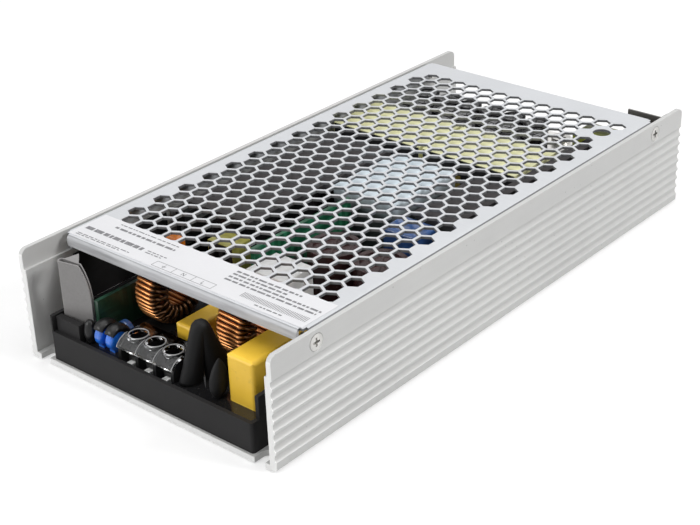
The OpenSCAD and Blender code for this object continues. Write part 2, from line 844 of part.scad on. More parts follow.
module potting() {
    play = 0.2;
    color([0.09, 0.09, 0.1])
        difference() {
            translate([0, 0, tray_z])
                linear_extrude(pot_top - tray_z)
                    tray_plan(tray_wall);
            translate([0, 0, board_z])
                linear_extrude(board_t)
                    tray_plan(tray_wall + board_gap);
            for (sx = [-1, 1])
                translate([sx * rib_x - rib_w / 2, -tray_mid_y, tray_z - eps])
                    cube([rib_w, 2 * tray_mid_y, board_lift + eps]);
            translate([0, 0, board_top - eps])
                linear_extrude(pot_top - board_top + 2 * eps) {
                    for (f = feet())
                        translate([f[0], f[1]])
                            square([f[2], f[3]], center = true);
                    for (f = round_feet())
                        translate([f[0], f[1]])
                            circle(d = f[2] + play);
                }
        }
}

// Side outline of the terminal block's top: a curved front that runs into a level top
module term_outline(r, top) {
    translate([clear_r, top - r])
        intersection() {
            circle(r);
            translate([-r, 0])
                square([r, r]);
        }
    translate([clear_r, 0])
        square([term_l - clear_r, top]);
    translate([clear_r - r, 0])
        square([r, top - r]);
}

module terminal_block() {
    body_top = term_h - clear_t;
    color([0.1, 0.1, 0.11])
        translate([term_x, term_y, board_top])
            difference() {
                rotate([90, 0, 90])
                    linear_extrude(term_w, center = true)
                        term_outline(clear_r - clear_t - fit_gap, body_top);
                for (i = [-1:1])
                    translate([i * term_pitch - (term_pitch - term_wall) / 2, -eps, term_bed - board_top])
                        cube([term_pitch - term_wall, term_l - term_wall, term_h]);
            }
}

module terminal_cover() {
    collar_h = 0.4;
    cut_z = clear_r * sin(clear_lift);
    color([0.8, 0.85, 0.88, 0.4])
        translate([term_x, term_y, term_top - clear_r])
            difference() {
                union() {
                    rotate([90, 0, 90])
                        linear_extrude(term_w, center = true) {
                            translate([clear_r, 0])
                                intersection() {
                                    difference() {
                                        circle(clear_r);
                                        circle(clear_r - clear_t);
                                    }
                                    translate([-clear_r, cut_z])
                                        square([clear_r, clear_r]);
                                }
                            translate([clear_r, clear_r - clear_t])
                                square([term_l - clear_r, clear_t]);
                        }
                    for (i = [-1:1])
                        translate([i * term_pitch, driver_y - term_y, clear_r - clear_t])
                            cylinder(d = driver_d + 2 * collar_t, h = clear_t + collar_h);
                }
                for (i = [-1:1])
                    translate([i * term_pitch, driver_y - term_y, 0])
                        cylinder(d = driver_d, h = 2 * clear_r);
            }
}

// Wire clamps on their saddles, with a narrow tongue in front of each
module terminal_clamps() {
    w = term_pitch - term_wall - 2 * fit_gap;
    l = term_l - term_wall - clamp_set - fit_gap;
    tongue_l = 0.7 * clamp_set;
    color("lightgray")
        for (i = [-1:1])
            translate([term_x + i * term_pitch, term_y + clamp_set, 0])
                difference() {
                    union() {
                        translate([-w / 2, 0, term_bed])
                            cube([w, l, saddle_h + clamp_t]);
                        translate([-tongue_w / 2, -tongue_l, term_bed])
                            cube([tongue_w, l / 2, saddle_h]);
                    }
                    translate([0, driver_y - term_y - clamp_set, 0])
                        cylinder(d = term_screw_d * 0.6, h = body_h);
                }
}

module terminal_screws() {
    head_h = term_screw_d * 0.4;
    slot = term_screw_d * 0.16;
    color("silver")
        for (i = [-1:1])
            translate([term_x + i * term_pitch, driver_y, clamp_z + clamp_t]) {
                difference() {
                    cylinder(d = term_screw_d, h = head_h);
                    for (a = [0, 90])
                        rotate(a)
                            translate([-term_screw_d * 0.35, -slot / 2, head_h * 0.4])
                                cube([term_screw_d * 0.7, slot, head_h]);
                }
                translate([0, 0, term_bed - clamp_z - clamp_t])
                    cylinder(d = term_screw_d * 0.5, h = clamp_z + clamp_t - term_bed);
            }
}

// One turn of wire round the ring's section: a flat-sided loop with rounded bends
module wire_turn(ri, hx) {
    w = 2 * hx;
    l = choke_ro - ri;
    translate([0, (choke_ro + ri) / 2, 0])
        linear_extrude(wire_d, center = true)
            difference() {
                round_rect(w + wire_d, l + wire_d, wire_bend + wire_d / 2);
                round_rect(w - wire_d, l - wire_d, wire_bend - wire_d / 2);
            }
}

// Winding of one ring in two halves, every second turn lying over its neighbours on the inside
module winding(core_w) {
    half = choke_turns / 2;
    for (i = [0:choke_turns - 1])
        if (i % half != 0)
            rotate([90 + i * 360 / choke_turns, 0, 0])
                wire_turn(i % 2 == 0 ? choke_ri : choke_ri2,
                    core_w / 2 + wire_d * (i % 2 == 0 ? 0.5 : 1.55) + core_gap);
}

// Ring core with rounded edges, its axis along X
module choke_core(core_w) {
    outer = choke_ro - wire_d / 2 - core_gap;
    inner = choke_ri + wire_d / 2 + core_gap;
    rotate([0, 90, 0])
        rotate_extrude()
            translate([(outer + inner) / 2, 0])
                round_rect(outer - inner, core_w, wire_bend - wire_d / 2 + core_gap);
}

module left_choke_core() {
    color("dimgray")
        translate([choke_left_x, choke_y, choke_z])
            choke_core(choke_left_w);
}

module left_choke_winding() {
    color("chocolate")
        translate([choke_left_x, choke_y, choke_z])
            winding(choke_left_w);
}

module right_choke_core() {
    color("dimgray")
        translate([choke_right_x, choke_y, choke_z])
            choke_core(choke_right_w);
}

module right_choke_winding() {
    color("chocolate")
        translate([choke_right_x, choke_y, choke_z])
            winding(choke_right_w);
}

function base_w(core_w) = core_w + 4 * wire_d;
function base_l() = 1.4 * choke_ro;

module choke_bases() {
    color([0.13, 0.13, 0.13])
        for (b = [[choke_left_x, choke_left_w], [choke_right_x, choke_right_w]])
            translate([b[0], choke_y, board_top])
                linear_extrude(choke_seat - board_top)
                    square([base_w(b[1]), base_l()], center = true);
}

module large_film_capacitor() {
    color("gold")
        translate([xcap_x, xcap_y, board_top])
            soft_box(xcap_w, xcap_l, xcap_h, box_r);
}

module small_film_capacitor() {
    color("gold")
        translate([xcap2_x, xcap2_y, board_top])
            soft_box(xcap2_w, xcap2_l, xcap2_h, box_r);
}

// Lacquered disc standing on a short neck, its axis along X
module disc_part(d, t) {
    r = t / 2.4;
    neck_w = d * 0.6;
    translate([0, 0, d / 2])
        rotate([0, 90, 0])
            rotate_extrude()
                intersection() {
                    translate([0, -t / 2])
                        square([d / 2, t]);
                    union() {
                        translate([0, -t / 2])
                            square([d / 2 - r, t]);
                        translate([d / 2 - r, 0])
                            circle(r * 1.2);
                    }
                }
    translate([-t * 0.35, -neck_w / 2, 0])
        cube([t * 0.7, neck_w, d / 2]);
}

module varistors() {
    color("royalblue")
        for (i = [0, 1])
            translate([disc_x - i * disc_pitch, disc_y, pot_top])
                disc_part(disc_d, disc_t);
}

// Open shrink sleeve that leaves the front edge of each varistor bare
module varistor_sleeves() {
    w = disc_t + 2 * fit_gap;
    r = disc_d / 2 + fit_gap;
    color([0.1, 0.1, 0.1])
        for (i = [0, 1])
            translate([disc_x - i * disc_pitch, disc_y, pot_top + disc_d / 2])
                rotate([90, 0, 90])
                    difference() {
                        linear_extrude(w + 2 * sleeve_t, center = true)
                            intersection() {
                                union() {
                                    circle(r + sleeve_t);
                                    translate([-sleeve_reach, -disc_d / 2])
                                        square([sleeve_reach + r + sleeve_t, disc_d / 2]);
                                }
                                translate([-sleeve_reach, -disc_d / 2])
                                    square(2 * disc_d);
                            }
                        linear_extrude(w, center = true) {
                            circle(r);
                            translate([-disc_d, -disc_d])
                                square([disc_d + r, disc_d]);
                        }
                    }
}

// Sleeved fuse that stands on the potting in front of the upright board
module fuse_sleeve() {
    color([0.1, 0.1, 0.1])
        translate([fuse_x, (fuse_y0 + fuse_y1) / 2, pot_top])
            soft_box(fuse_d, fuse_y1 - fuse_y0, fuse_h, fuse_d * 0.4);
}

module small_disc_capacitor() {
    y = disc_y + disc_d / 2 + sleeve_t + 3 * fit_gap + small_disc_t / 2;
    color("royalblue")
        translate([disc_x - disc_pitch / 2, y, pot_top])
            rotate(90)
                disc_part(small_disc_d, small_disc_t);
}

// Thick sleeved lead, bent over at the top, with its two feet on the potting
module bent_sleeve() {
    foot_t = 0.2;
    color([0.14, 0.14, 0.14])
        for (s = [-1, 1])
            hull() {
                translate([bend_x, bend_y, pot_top + bend_h - bend_d / 2])
                    sphere(d = bend_d, $fn = 32);
                translate([bend_x + s * bend_splay, bend_y + s * (bend_l - bend_d), pot_top])
                    linear_extrude(foot_t)
                        round_rect(bend_d, bend_d * 1.5, bend_d / 2.1);
            }
}

// Flat leaf-shaped sleeve round a disc, standing on the potting
module sleeved_thermistor() {
    foot_t = 0.2;
    color([0.14, 0.14, 0.14])
        translate([leaf_x, leaf_y, pot_top])
            hull() {
                translate([0, leaf_l * 0.12, leaf_h - leaf_l * 0.36])
                    rotate([0, 90, 0])
                        cylinder(r = leaf_l * 0.36, h = leaf_t * 0.5, center = true, $fn = 32);
                translate([0, 0, leaf_h * 0.45])
                    rotate([0, 90, 0])
                        cylinder(r = leaf_l / 2, h = leaf_t * 0.6, center = true, $fn = 32);
                translate([0, 0, leaf_h * 0.45])
                    rotate([0, 90, 0])
                        cylinder(r = leaf_l * 0.36, h = leaf_t, center = true, $fn = 32);
                linear_extrude(foot_t)
                    square([leaf_t * 0.6, leaf_l * 0.5], center = true);
            }
}

module filter_board() {
    color("darkgreen")
        translate([filter_x - board_t / 2, front_y + filter_inset, board_top])
            cube([board_t, filter_l, filter_h]);
}

// Plan of one leaf of the folded sheet, from the rolled edge to the nearly closed tip
module fold_leaf() {
    polygon([[0, -fold_r], [fold_tip, -fold_slit - fold_t], [fold_tip, -fold_slit], [0, fold_t - fold_r]]);
}

// Corner that the rounded outline takes off the leaves above their widest height
module leaf_corner() {
    sweep_r = 0.82 * fold_h;
    translate([fold_tip - sweep_r, 0, 0.53 * fold_h])
        rotate([90, 0, 0])
            linear_extrude(4 * fold_r, center = true)
                difference() {
                    square([sweep_r + eps, fold_h]);
                    circle(sweep_r);
                }
}

// Thin sheet rolled over at one edge, its two leaves drawn together, with a flap at the top
module folded_insulator() {
    mouth = fold_r - fold_t;
    flap_y = mouth + (fold_slit - mouth) * flap_w / fold_tip;
    color([0.62, 0.6, 0.6])
        translate([fold_x, fold_y, pot_top])
            rotate(fold_turn) {
                linear_extrude(fold_h)
                    difference() {
                        circle(fold_r);
                        circle(fold_r - fold_t);
                        translate([0, -2 * fold_r])
                            square(4 * fold_r);
                    }
                for (s = [0, 1])
                    mirror([0, s, 0])
                        difference() {
                            linear_extrude(fold_h)
                                fold_leaf();
                            leaf_corner();
                        }
                translate([0, 0, fold_h - fold_t])
                    linear_extrude(fold_t)
                        polygon([[0, mouth], [flap_w, flap_y], [flap_x + fold_r, 0.75 * flap_l], [flap_x, flap_l]]);
            }
}

module barrier_strip() {
    x0 = 2 * fit_gap - tray_in;
    color([0.12, 0.12, 0.13])
        translate([x0, barrier_y, pot_top])
            cube([fuse_x - fuse_d / 2 - fit_gap - x0, barrier_t, barrier_h]);
}

// Thin film on the left wall beside the filter parts, between the tray's rim and the ledge
module side_liner() {
    z0 = pot_top + fit_gap;
    color([0.1, 0.1, 0.1])
        translate([-in_x, -tray_mid_y + fit_gap, z0])
            cube([liner_t, bulk_y0 - part_gap + tray_mid_y - fit_gap, ledge_z - part_gap - z0]);
}

module orange_capacitor() {
    color("darkorange")
        translate([orange_x, orange_y, board_top])
            soft_box(orange_size[0], orange_size[1], orange_size[2], box_r);
}

module relay() {
    color("whitesmoke")
        translate([relay_x, relay_y, board_top])
            soft_box(relay_size[0], relay_size[1], relay_size[2], box_r / 2);
}

// Places of the two input capacitors, from the right wall's parts to the left
function input_cap_x(i) = right_x1 - input_cap_d / 2 - i * (input_cap_d + part_gap);

module input_capacitors() {
    color([0.2, 0.13, 0.13])
        for (i = [0, 1])
            translate([input_cap_x(i), input_cap_y, board_top])
                can(input_cap_d, input_cap_h);
}

// Width of the two windows between a core's outer legs and its middle leg
function e_window(w, leg) = (w - 3 * leg) / 2;

// Core of a transformer: two E halves round a winding, open to the front and the rear
module e_core(w, l, h, leg) {
    window = e_window(w, leg);
    difference() {
        translate([-w / 2, -l / 2, 0])
            cube([w, l, h]);
        for (sx = [-1, 1])
            translate([sx * (window + leg) / 2 - window / 2, -l / 2 - eps, leg])
                cube([window, l + 2 * eps, h - 2 * leg]);
    }
}

module standby_core() {
    w = standby_size[0] - 2 * tape_t;
    color([0.2, 0.2, 0.2])
        translate([standby_x, standby_y, board_top])
            e_core(w, standby_size[1], standby_size[2] - tape_t, w / 6);
}

// Band of tape over the top and both sides of a core
module tape_band(w, l, h) {
    translate([-w / 2, -l / 2, 0])
        difference() {
            cube([w, l, h]);
            translate([tape_t, -eps, -eps])
                cube([w - 2 * tape_t, l + 2 * eps, h - tape_t + eps]);
        }
}

module standby_tape() {
    color([0.85, 0.8, 0.4])
        translate([standby_x, standby_y, board_top])
            tape_band(standby_size[0], standby_size[1], standby_size[2]);
}

module boost_choke() {
    color("lightblue")
        translate([boost_x, (boost_y0 + boost_y1) / 2, board_top])
            soft_box(boost_w, boost_run, tall_z - board_top, box_r);
}

module control_board() {
    color("seagreen")
        translate([control_x - board_t / 2, control_y0, board_top])
            cube([board_t, control_y1 - control_y0, control_h]);
}

// Row of small packages on the right face of the control board
module control_chips() {
    chip_l = 8;
    chip_t = 1.6;
    chip_pitch = 1.6 * chip_l;
    chip_z = board_top + control_h - 2 * chip_l;
    n = floor((control_y1 - control_y0 - chip_l) / chip_pitch);
    color([0.12, 0.12, 0.12])
        for (i = [0:n])
            translate([control_x + board_t / 2, control_y0 + part_gap + i * chip_pitch, chip_z])
                cube([chip_t, chip_l, chip_l * (i % 2 == 0 ? 1 : 0.6)]);
}

module bulk_capacitors() {
    color([0.16, 0.14, 0.15])
        for (i = [0:bulk_n - 1])
            translate([bulk_x, bulk_y0 + bulk_d / 2 + i * bulk_pitch, board_top])
                can(bulk_d, pad_z - board_top);
}

module left_heat_pad() {
    color([0.45, 0.43, 0.42])
        translate([left_x0, bulk_y0, pad_z])
            cube([left_x1 - left_x0, boost_y1 - bulk_y0, pad_t]);
}

module right_heat_pad() {
    color([0.45, 0.43, 0.42])
        translate([0, boost_y0, pad_z]) {
            translate([right_x0, 0, 0])
                cube([right_x1 - right_x0, boost_run, pad_t]);
            translate([strip_x, 0, 0])
                cube([strip_w, boost_run + strip_l, pad_t]);
        }
}

module resonant_capacitors() {
    color([0.3, 0.3, 0.28])
        for (y = [boost_y0 + res_l / 2, boost_y1 - res_l / 2])
            translate([(right_x0 + right_x1) / 2, y, board_top])
                linear_extrude(pad_z - board_top)
                    round_rect(right_x1 - right_x0, res_l, box_r);
}

module blue_capacitor() {
    color("steelblue")
        translate([blue_x, blue_y, board_top])
            soft_box(blue_size[0], blue_size[1], blue_h, box_r);
}

// Centres of the left and the right main transformer across the supply
function trafo_place(i) = -trafo_x + trafo_w / 2 + i * (trafo_w + trafo_gap);

module both_transformers() {
    for (i = [0, 1])
        translate([trafo_place(i), (trafo_y0 + trafo_y1) / 2, board_top])
            children();
}

module transformer_cores() {
    color([0.2, 0.2, 0.2])
        both_transformers()
            e_core(trafo_w - 2 * tape_t, trafo_l, tall_z - board_top - tape_t, trafo_w / 7);
}

// Windings that fill the windows of the main transformers' cores
module transformer_windings() {
    w = trafo_w - 2 * tape_t;
    leg = trafo_w / 7;
    h = tall_z - board_top - tape_t - 2 * leg;
    gap = 0.4;
    window = e_window(w, leg);
    color([0.7, 0.6, 0.25])
        both_transformers()
            for (sx = [-1, 1])
                translate([sx * (window + leg) / 2, 0, leg])
                    linear_extrude(h - gap)
                        square([window - 2 * gap, trafo_l], center = true);
}

module transformer_tapes() {
    color([0.9, 0.87, 0.6])
        both_transformers()
            tape_band(trafo_w, trafo_l, tall_z - board_top);
}

// Places of the wall-mounted transistors along the supply
function fet_y(i) = bulk_y0 + (i + 0.5) * fet_span / fet_n;

module both_walls() {
    for (s = [0, 1])
        mirror([s, 0, 0])
            children();
}

module power_transistors() {
    color([0.1, 0.1, 0.1])
        both_walls()
            for (i = [0:fet_n - 1])
                translate([fet_x, fet_y(i) - fet_w / 2, fet_z])
                    cube([fet_t, fet_w, fet_h]);
}

module wall_pads() {
    edge = 1;
    color("lightsteelblue")
        both_walls()
            translate([in_x - wall_pad_t, bulk_y0, fet_z - edge])
                cube([wall_pad_t, fet_span, fet_h + 2 * edge]);
}

module clamp_bars() {
    color("gray")
        both_walls()
            translate([fet_x - bar_t, bulk_y0, bar_z])
                cube([bar_t, fet_span, bar_h]);
}

// Grid of the output capacitors behind the transformers, in staggered rows
function out_cap_places() = [
    for (j = [0:out_cap_rows - 1])
        for (i = [0:out_cap_n - 1])
            [out_cap_x0 + (i + j % 2 / 2) * out_cap_pitch, out_cap_y0 + j * out_cap_pitch * 0.9]
];

module output_capacitors() {
    color([0.15, 0.15, 0.18])
        for (p = out_cap_places())
            translate([p[0], p[1], board_top])
                can(out_cap_d, out_cap_h);
}

module output_choke() {
    color([0.75, 0.78, 0.3])
        translate([out_choke_x, out_choke_y, board_top])
            soft_box(out_choke_size[0], out_choke_size[1], out_choke_size[2], box_r);
}

// Centres of the two output busbars across the supply
function bus_places() = [for (s = [-1, 1]) bus_x + s * (bus_w + bus_gap) / 2];

module output_terminal_base() {
    rim = 2;
    w = 2 * (bus_w + rim) + bus_gap;
    color([0.1, 0.1, 0.11])
        translate([bus_x - w / 2, bus_y0, pot_top])
            difference() {
                cube([w, bus_l, bus_z]);
                for (x = bus_places())
                    for (s = [-1, 1])
                        translate([x - bus_x + w / 2 + s * bus_w / 4, bus_l / 2, -eps])
                            cylinder(d = bus_screw_d + 2 * fit_gap, h = bus_z + 2 * eps);
            }
}

module output_busbars() {
    color("lightgray")
        for (x = bus_places())
            translate([x, 0, pot_top])
                difference() {
                    union() {
                        translate([-bus_w / 2, bus_y0 - bus_t, bus_z])
                            cube([bus_w, bus_l + bus_t, bus_t]);
                        translate([-bus_w / 2, bus_y0 - bus_t, 0])
                            cube([bus_w, bus_t, bus_z + bus_t]);
                    }
                    for (s = [-1, 1])
                        translate([s * bus_w / 4, bus_y0 + bus_l / 2, bus_z - eps])
                            cylinder(d = bus_screw_d + screw_play, h = bus_t + 2 * eps);
                }
}

module output_screws() {
    head_h = bus_head_d * 0.3;
    slot = bus_head_d * 0.12;
    color("silver")
        for (x = bus_places())
            for (s = [-1, 1])
                translate([x + s * bus_w / 4, bus_y0 + bus_l / 2, bus_top]) {
                    difference() {
                        cylinder(d = bus_head_d, h = head_h);
                        for (a = [0, 90])
                            rotate(a)
                                translate([-bus_head_d * 0.3, -slot / 2, head_h * 0.4])
                                    cube([bus_head_d * 0.6, slot, head_h]);
                    }
                    translate([0, 0, -bus_t - bus_z])
                        cylinder(d = bus_screw_d, h = bus_t + bus_z);
                }
}

module signal_connector() {
    wall = 0.8;
    color("ivory")
        translate([plug_x, plug_y, pot_top])
            difference() {
                linear_extrude(plug_h)
                    square([plug_w, plug_l], center = true);
                translate([0, 0, plug_floor])
                    linear_extrude(plug_h)
                        square([plug_w - 2 * wall, plug_l - 2 * wall], center = true);
            }
}

// Two rows of square pins that end below the connector's rim
module signal_pins() {
    pitch = 2;
    pin_w = 0.6;
    drop = 1;
    n = floor(plug_w / pitch) - 2;
    color("gold")
        for (j = [-1, 1])
            for (i = [0:n])
                translate([plug_x + (i - n / 2) * pitch, plug_y + j * pitch / 2, pot_top + plug_floor])
                    linear_extrude(plug_h - plug_floor - drop)
                        square(pin_w, center = true);
}

// Thin insulator folded into the rear right corner, stepped over the tray's raised wall
module corner_insulator() {
    step_x = tray_end_w / 2 + fit_gap;
    color([0.3, 0.3, 0.31]) {
        translate([step_x, film_y, base_t])
            cube([in_x - step_x, film_t, film_h]);
        translate([in_x - film_w, film_y, base_t + tray_side_h])
            cube([film_w, film_t, film_h - tray_side_h]);
        translate([in_x - film_t, film_y, base_t])
            cube([film_t, film_l, film_h]);
    }
}

chassis();
top_cover();
rating_label();
cover_screws();
insulating_tray();
main_board();
potting();
terminal_block();
terminal_cover();
terminal_screws();
terminal_clamps();
left_choke_core();
left_choke_winding();
right_choke_core();
right_choke_winding();
choke_bases();
large_film_capacitor();
small_film_capacitor();
varistors();
varistor_sleeves();
fuse_sleeve();
small_disc_capacitor();
bent_sleeve();
sleeved_thermistor();
filter_board();
folded_insulator();
barrier_strip();
side_liner();
orange_capacitor();
relay();
input_capacitors();
standby_core();
standby_tape();
boost_choke();
control_board();
control_chips();
bulk_capacitors();
left_heat_pad();
right_heat_pad();
resonant_capacitors();
blue_capacitor();
transformer_cores();
transformer_windings();
transformer_tapes();
power_transistors();
wall_pads();
clamp_bars();
output_capacitors();
output_choke();
output_busbars();
output_screws();
output_terminal_base();
signal_connector();
signal_pins();
corner_insulator();
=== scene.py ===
import math

import bpy
import numpy as np
from mathutils import Matrix, Vector


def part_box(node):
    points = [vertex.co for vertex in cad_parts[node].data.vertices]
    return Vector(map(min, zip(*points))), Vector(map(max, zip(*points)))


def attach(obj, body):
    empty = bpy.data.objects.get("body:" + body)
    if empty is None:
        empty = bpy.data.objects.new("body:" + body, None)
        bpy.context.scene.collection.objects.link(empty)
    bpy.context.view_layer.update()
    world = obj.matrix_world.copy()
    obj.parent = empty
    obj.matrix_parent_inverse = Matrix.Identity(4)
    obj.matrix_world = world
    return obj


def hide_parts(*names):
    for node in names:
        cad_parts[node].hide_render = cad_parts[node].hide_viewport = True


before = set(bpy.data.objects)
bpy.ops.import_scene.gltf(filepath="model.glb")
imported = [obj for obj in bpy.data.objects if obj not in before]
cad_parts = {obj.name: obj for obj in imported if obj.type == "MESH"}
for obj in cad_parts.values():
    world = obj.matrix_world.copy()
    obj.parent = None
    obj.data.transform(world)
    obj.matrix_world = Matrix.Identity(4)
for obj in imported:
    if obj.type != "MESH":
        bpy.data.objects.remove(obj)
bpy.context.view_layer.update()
scene = bpy.context.scene
scene.view_settings.view_transform = "Standard"
mm = 0.001
white = (1, 1, 1, 1)
print("frame loaded:", len(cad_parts), "nodes")

# camera: stands on a line through the middle of the underside, turned a little about that line
cameraSet = {
    "turn": 40.05, "rise": 28.09, "roll": -1.414,  # degrees
    "away": 0.5772, "lens": 78.49, "sensor": 36, "shift": (-0.0446, 0.0125), "clip": (0.01, 20),
}


def makeCamera(s):
    turn, rise, roll = (math.radians(s[k]) for k in ("turn", "rise", "roll"))
    back = Vector((math.sin(turn) * math.cos(rise), -math.cos(turn) * math.cos(rise), math.sin(rise)))
    right = Vector((math.cos(turn), math.sin(turn), 0))
    up = back.cross(right)
    right, up = right * math.cos(roll) + up * math.sin(roll), up * math.cos(roll) - right * math.sin(roll)
    data = bpy.data.cameras.new("camera")
    data.lens, data.sensor_width = s["lens"], s["sensor"]
    data.shift_x, data.shift_y = s["shift"]
    data.clip_start, data.clip_end = s["clip"]
    camera = bpy.data.objects.new("camera", data)
    place = Matrix((right, up, back)).transposed().to_4x4()
    place.translation = back * s["away"]
    camera.matrix_world = place
    scene.collection.objects.link(camera)
    scene.camera = camera


makeCamera(cameraSet)
print("camera placed")

# soft lamps: place, where they look, size in metres and watts
lampSet = {
    "overhead": {"at": (0.05, -0.05, 1.1), "look": (0, 0, 0.02), "size": 1.2, "watts": 8.6},
    "right": {"at": (0.92, 0.3, 0.72), "look": (0, 0, 0.02), "size": 0.3, "watts": 7.1},
    "front": {"at": (-0.45, -1.0, 0.45), "look": (0, -0.1, 0.02), "size": 0.5, "watts": 5.6},
}


def makeLamps(lamps):
    for name, s in lamps.items():
        data = bpy.data.lights.new(name, "AREA")
        data.energy, data.size = s["watts"], s["size"]
        lamp = bpy.data.objects.new(name, data)
        lamp.location = s["at"]
        lamp.rotation_euler = (Vector(s["look"]) - Vector(s["at"])).to_track_quat("-Z", "Y").to_euler()
        scene.collection.objects.link(lamp)


def addNode(tree, kind, **sockets):  # a node with some sockets set; an underscore stands for a space
    node = tree.nodes.new(kind)
    for key, value in sockets.items():
        node.inputs[key.replace("_", " ")].default_value = value
    return node


def joined(tree, operation, a, b=0):  # two values through one math node; plain numbers are set on the socket
    node = addNode(tree, "ShaderNodeMath")
    node.operation = operation
    for socket, value in zip(node.inputs, (a, b)):
        if isinstance(value, (int, float)):
            socket.default_value = value
        else:
            tree.links.new(value, socket)
    return node.outputs[0]


def ranged(tree, value, fromLow, fromHigh, toLow, toHigh):  # straight line between two ranges, held at its ends
    node = addNode(tree, "ShaderNodeMapRange", From_Min=fromLow, From_Max=fromHigh, To_Min=toLow, To_Max=toHigh)
    tree.links.new(value, node.inputs["Value"])
    return node.outputs["Result"]


def seenRays(tree):  # 1 for rays of the eye, and for what gloss and clear plastic show
    path = addNode(tree, "ShaderNodeLightPath")
    shown = joined(tree, "MAXIMUM", path.outputs["Is Glossy Ray"], path.outputs["Is Transmission Ray"])
    return joined(tree, "MAXIMUM", path.outputs["Is Camera Ray"], shown)


skySet = {"dim": 0.15, "white": 1.0}  # dim for matt faces, white for the eye, gloss and clear plastic


def makeSky(s):
    world = bpy.data.worlds.new("studio")
    scene.world = world
    world.use_nodes = True
    tree = world.node_tree
    tree.nodes.clear()
    out = addNode(tree, "ShaderNodeOutputWorld")
    room = addNode(tree, "ShaderNodeBackground", Color=white)
    level = joined(tree, "MULTIPLY", seenRays(tree), s["white"])
    tree.links.new(joined(tree, "MAXIMUM", level, s["dim"]), room.inputs["Strength"])
    tree.links.new(room.outputs[0], out.inputs[0])


floorSet = {
    "reach": 3.0, "below": 0.0004, "pale": (0.6, 0.6, 0.6, 1),
    "lift": 0.46, "full": 1.0, "near": 0.3, "far": 0.95,  # glow up to near, rising to full at far
}


def makeFloor(s):  # plain floor that keeps the shadow and fades to white away from the supply
    mesh = bpy.data.meshes.new("floor")
    r, z = s["reach"], -s["below"]
    mesh.from_pydata([(-r, -r, z), (r, -r, z), (r, r, z), (-r, r, z)], [], [(0, 1, 2, 3)])
    floor = bpy.data.objects.new("floor", mesh)
    scene.collection.objects.link(floor)
    mat = bpy.data.materials.new("paleFloor")
    mat.use_nodes = True
    tree = mat.node_tree
    tree.nodes.clear()
    out = addNode(tree, "ShaderNodeOutputMaterial")
    both = addNode(tree, "ShaderNodeAddShader")
    matt = addNode(tree, "ShaderNodeBsdfDiffuse", Color=s["pale"])
    glow = addNode(tree, "ShaderNodeEmission", Color=white)
    where = addNode(tree, "ShaderNodeTexCoord")
    away = addNode(tree, "ShaderNodeVectorMath")
    away.operation = "LENGTH"
    tree.links.new(where.outputs["Object"], away.inputs[0])
    fade = ranged(tree, away.outputs["Value"], s["near"], s["far"], s["lift"], s["full"])
    tree.links.new(joined(tree, "MULTIPLY", seenRays(tree), fade), glow.inputs["Strength"])
    tree.links.new(matt.outputs[0], both.inputs[0])
    tree.links.new(glow.outputs[0], both.inputs[1])
    tree.links.new(both.outputs[0], out.inputs["Surface"])
    floor.data.materials.append(mat)


makeLamps(lampSet)
makeSky(skySet)
makeFloor(floorSet)
print("lamps, sky and floor ready")


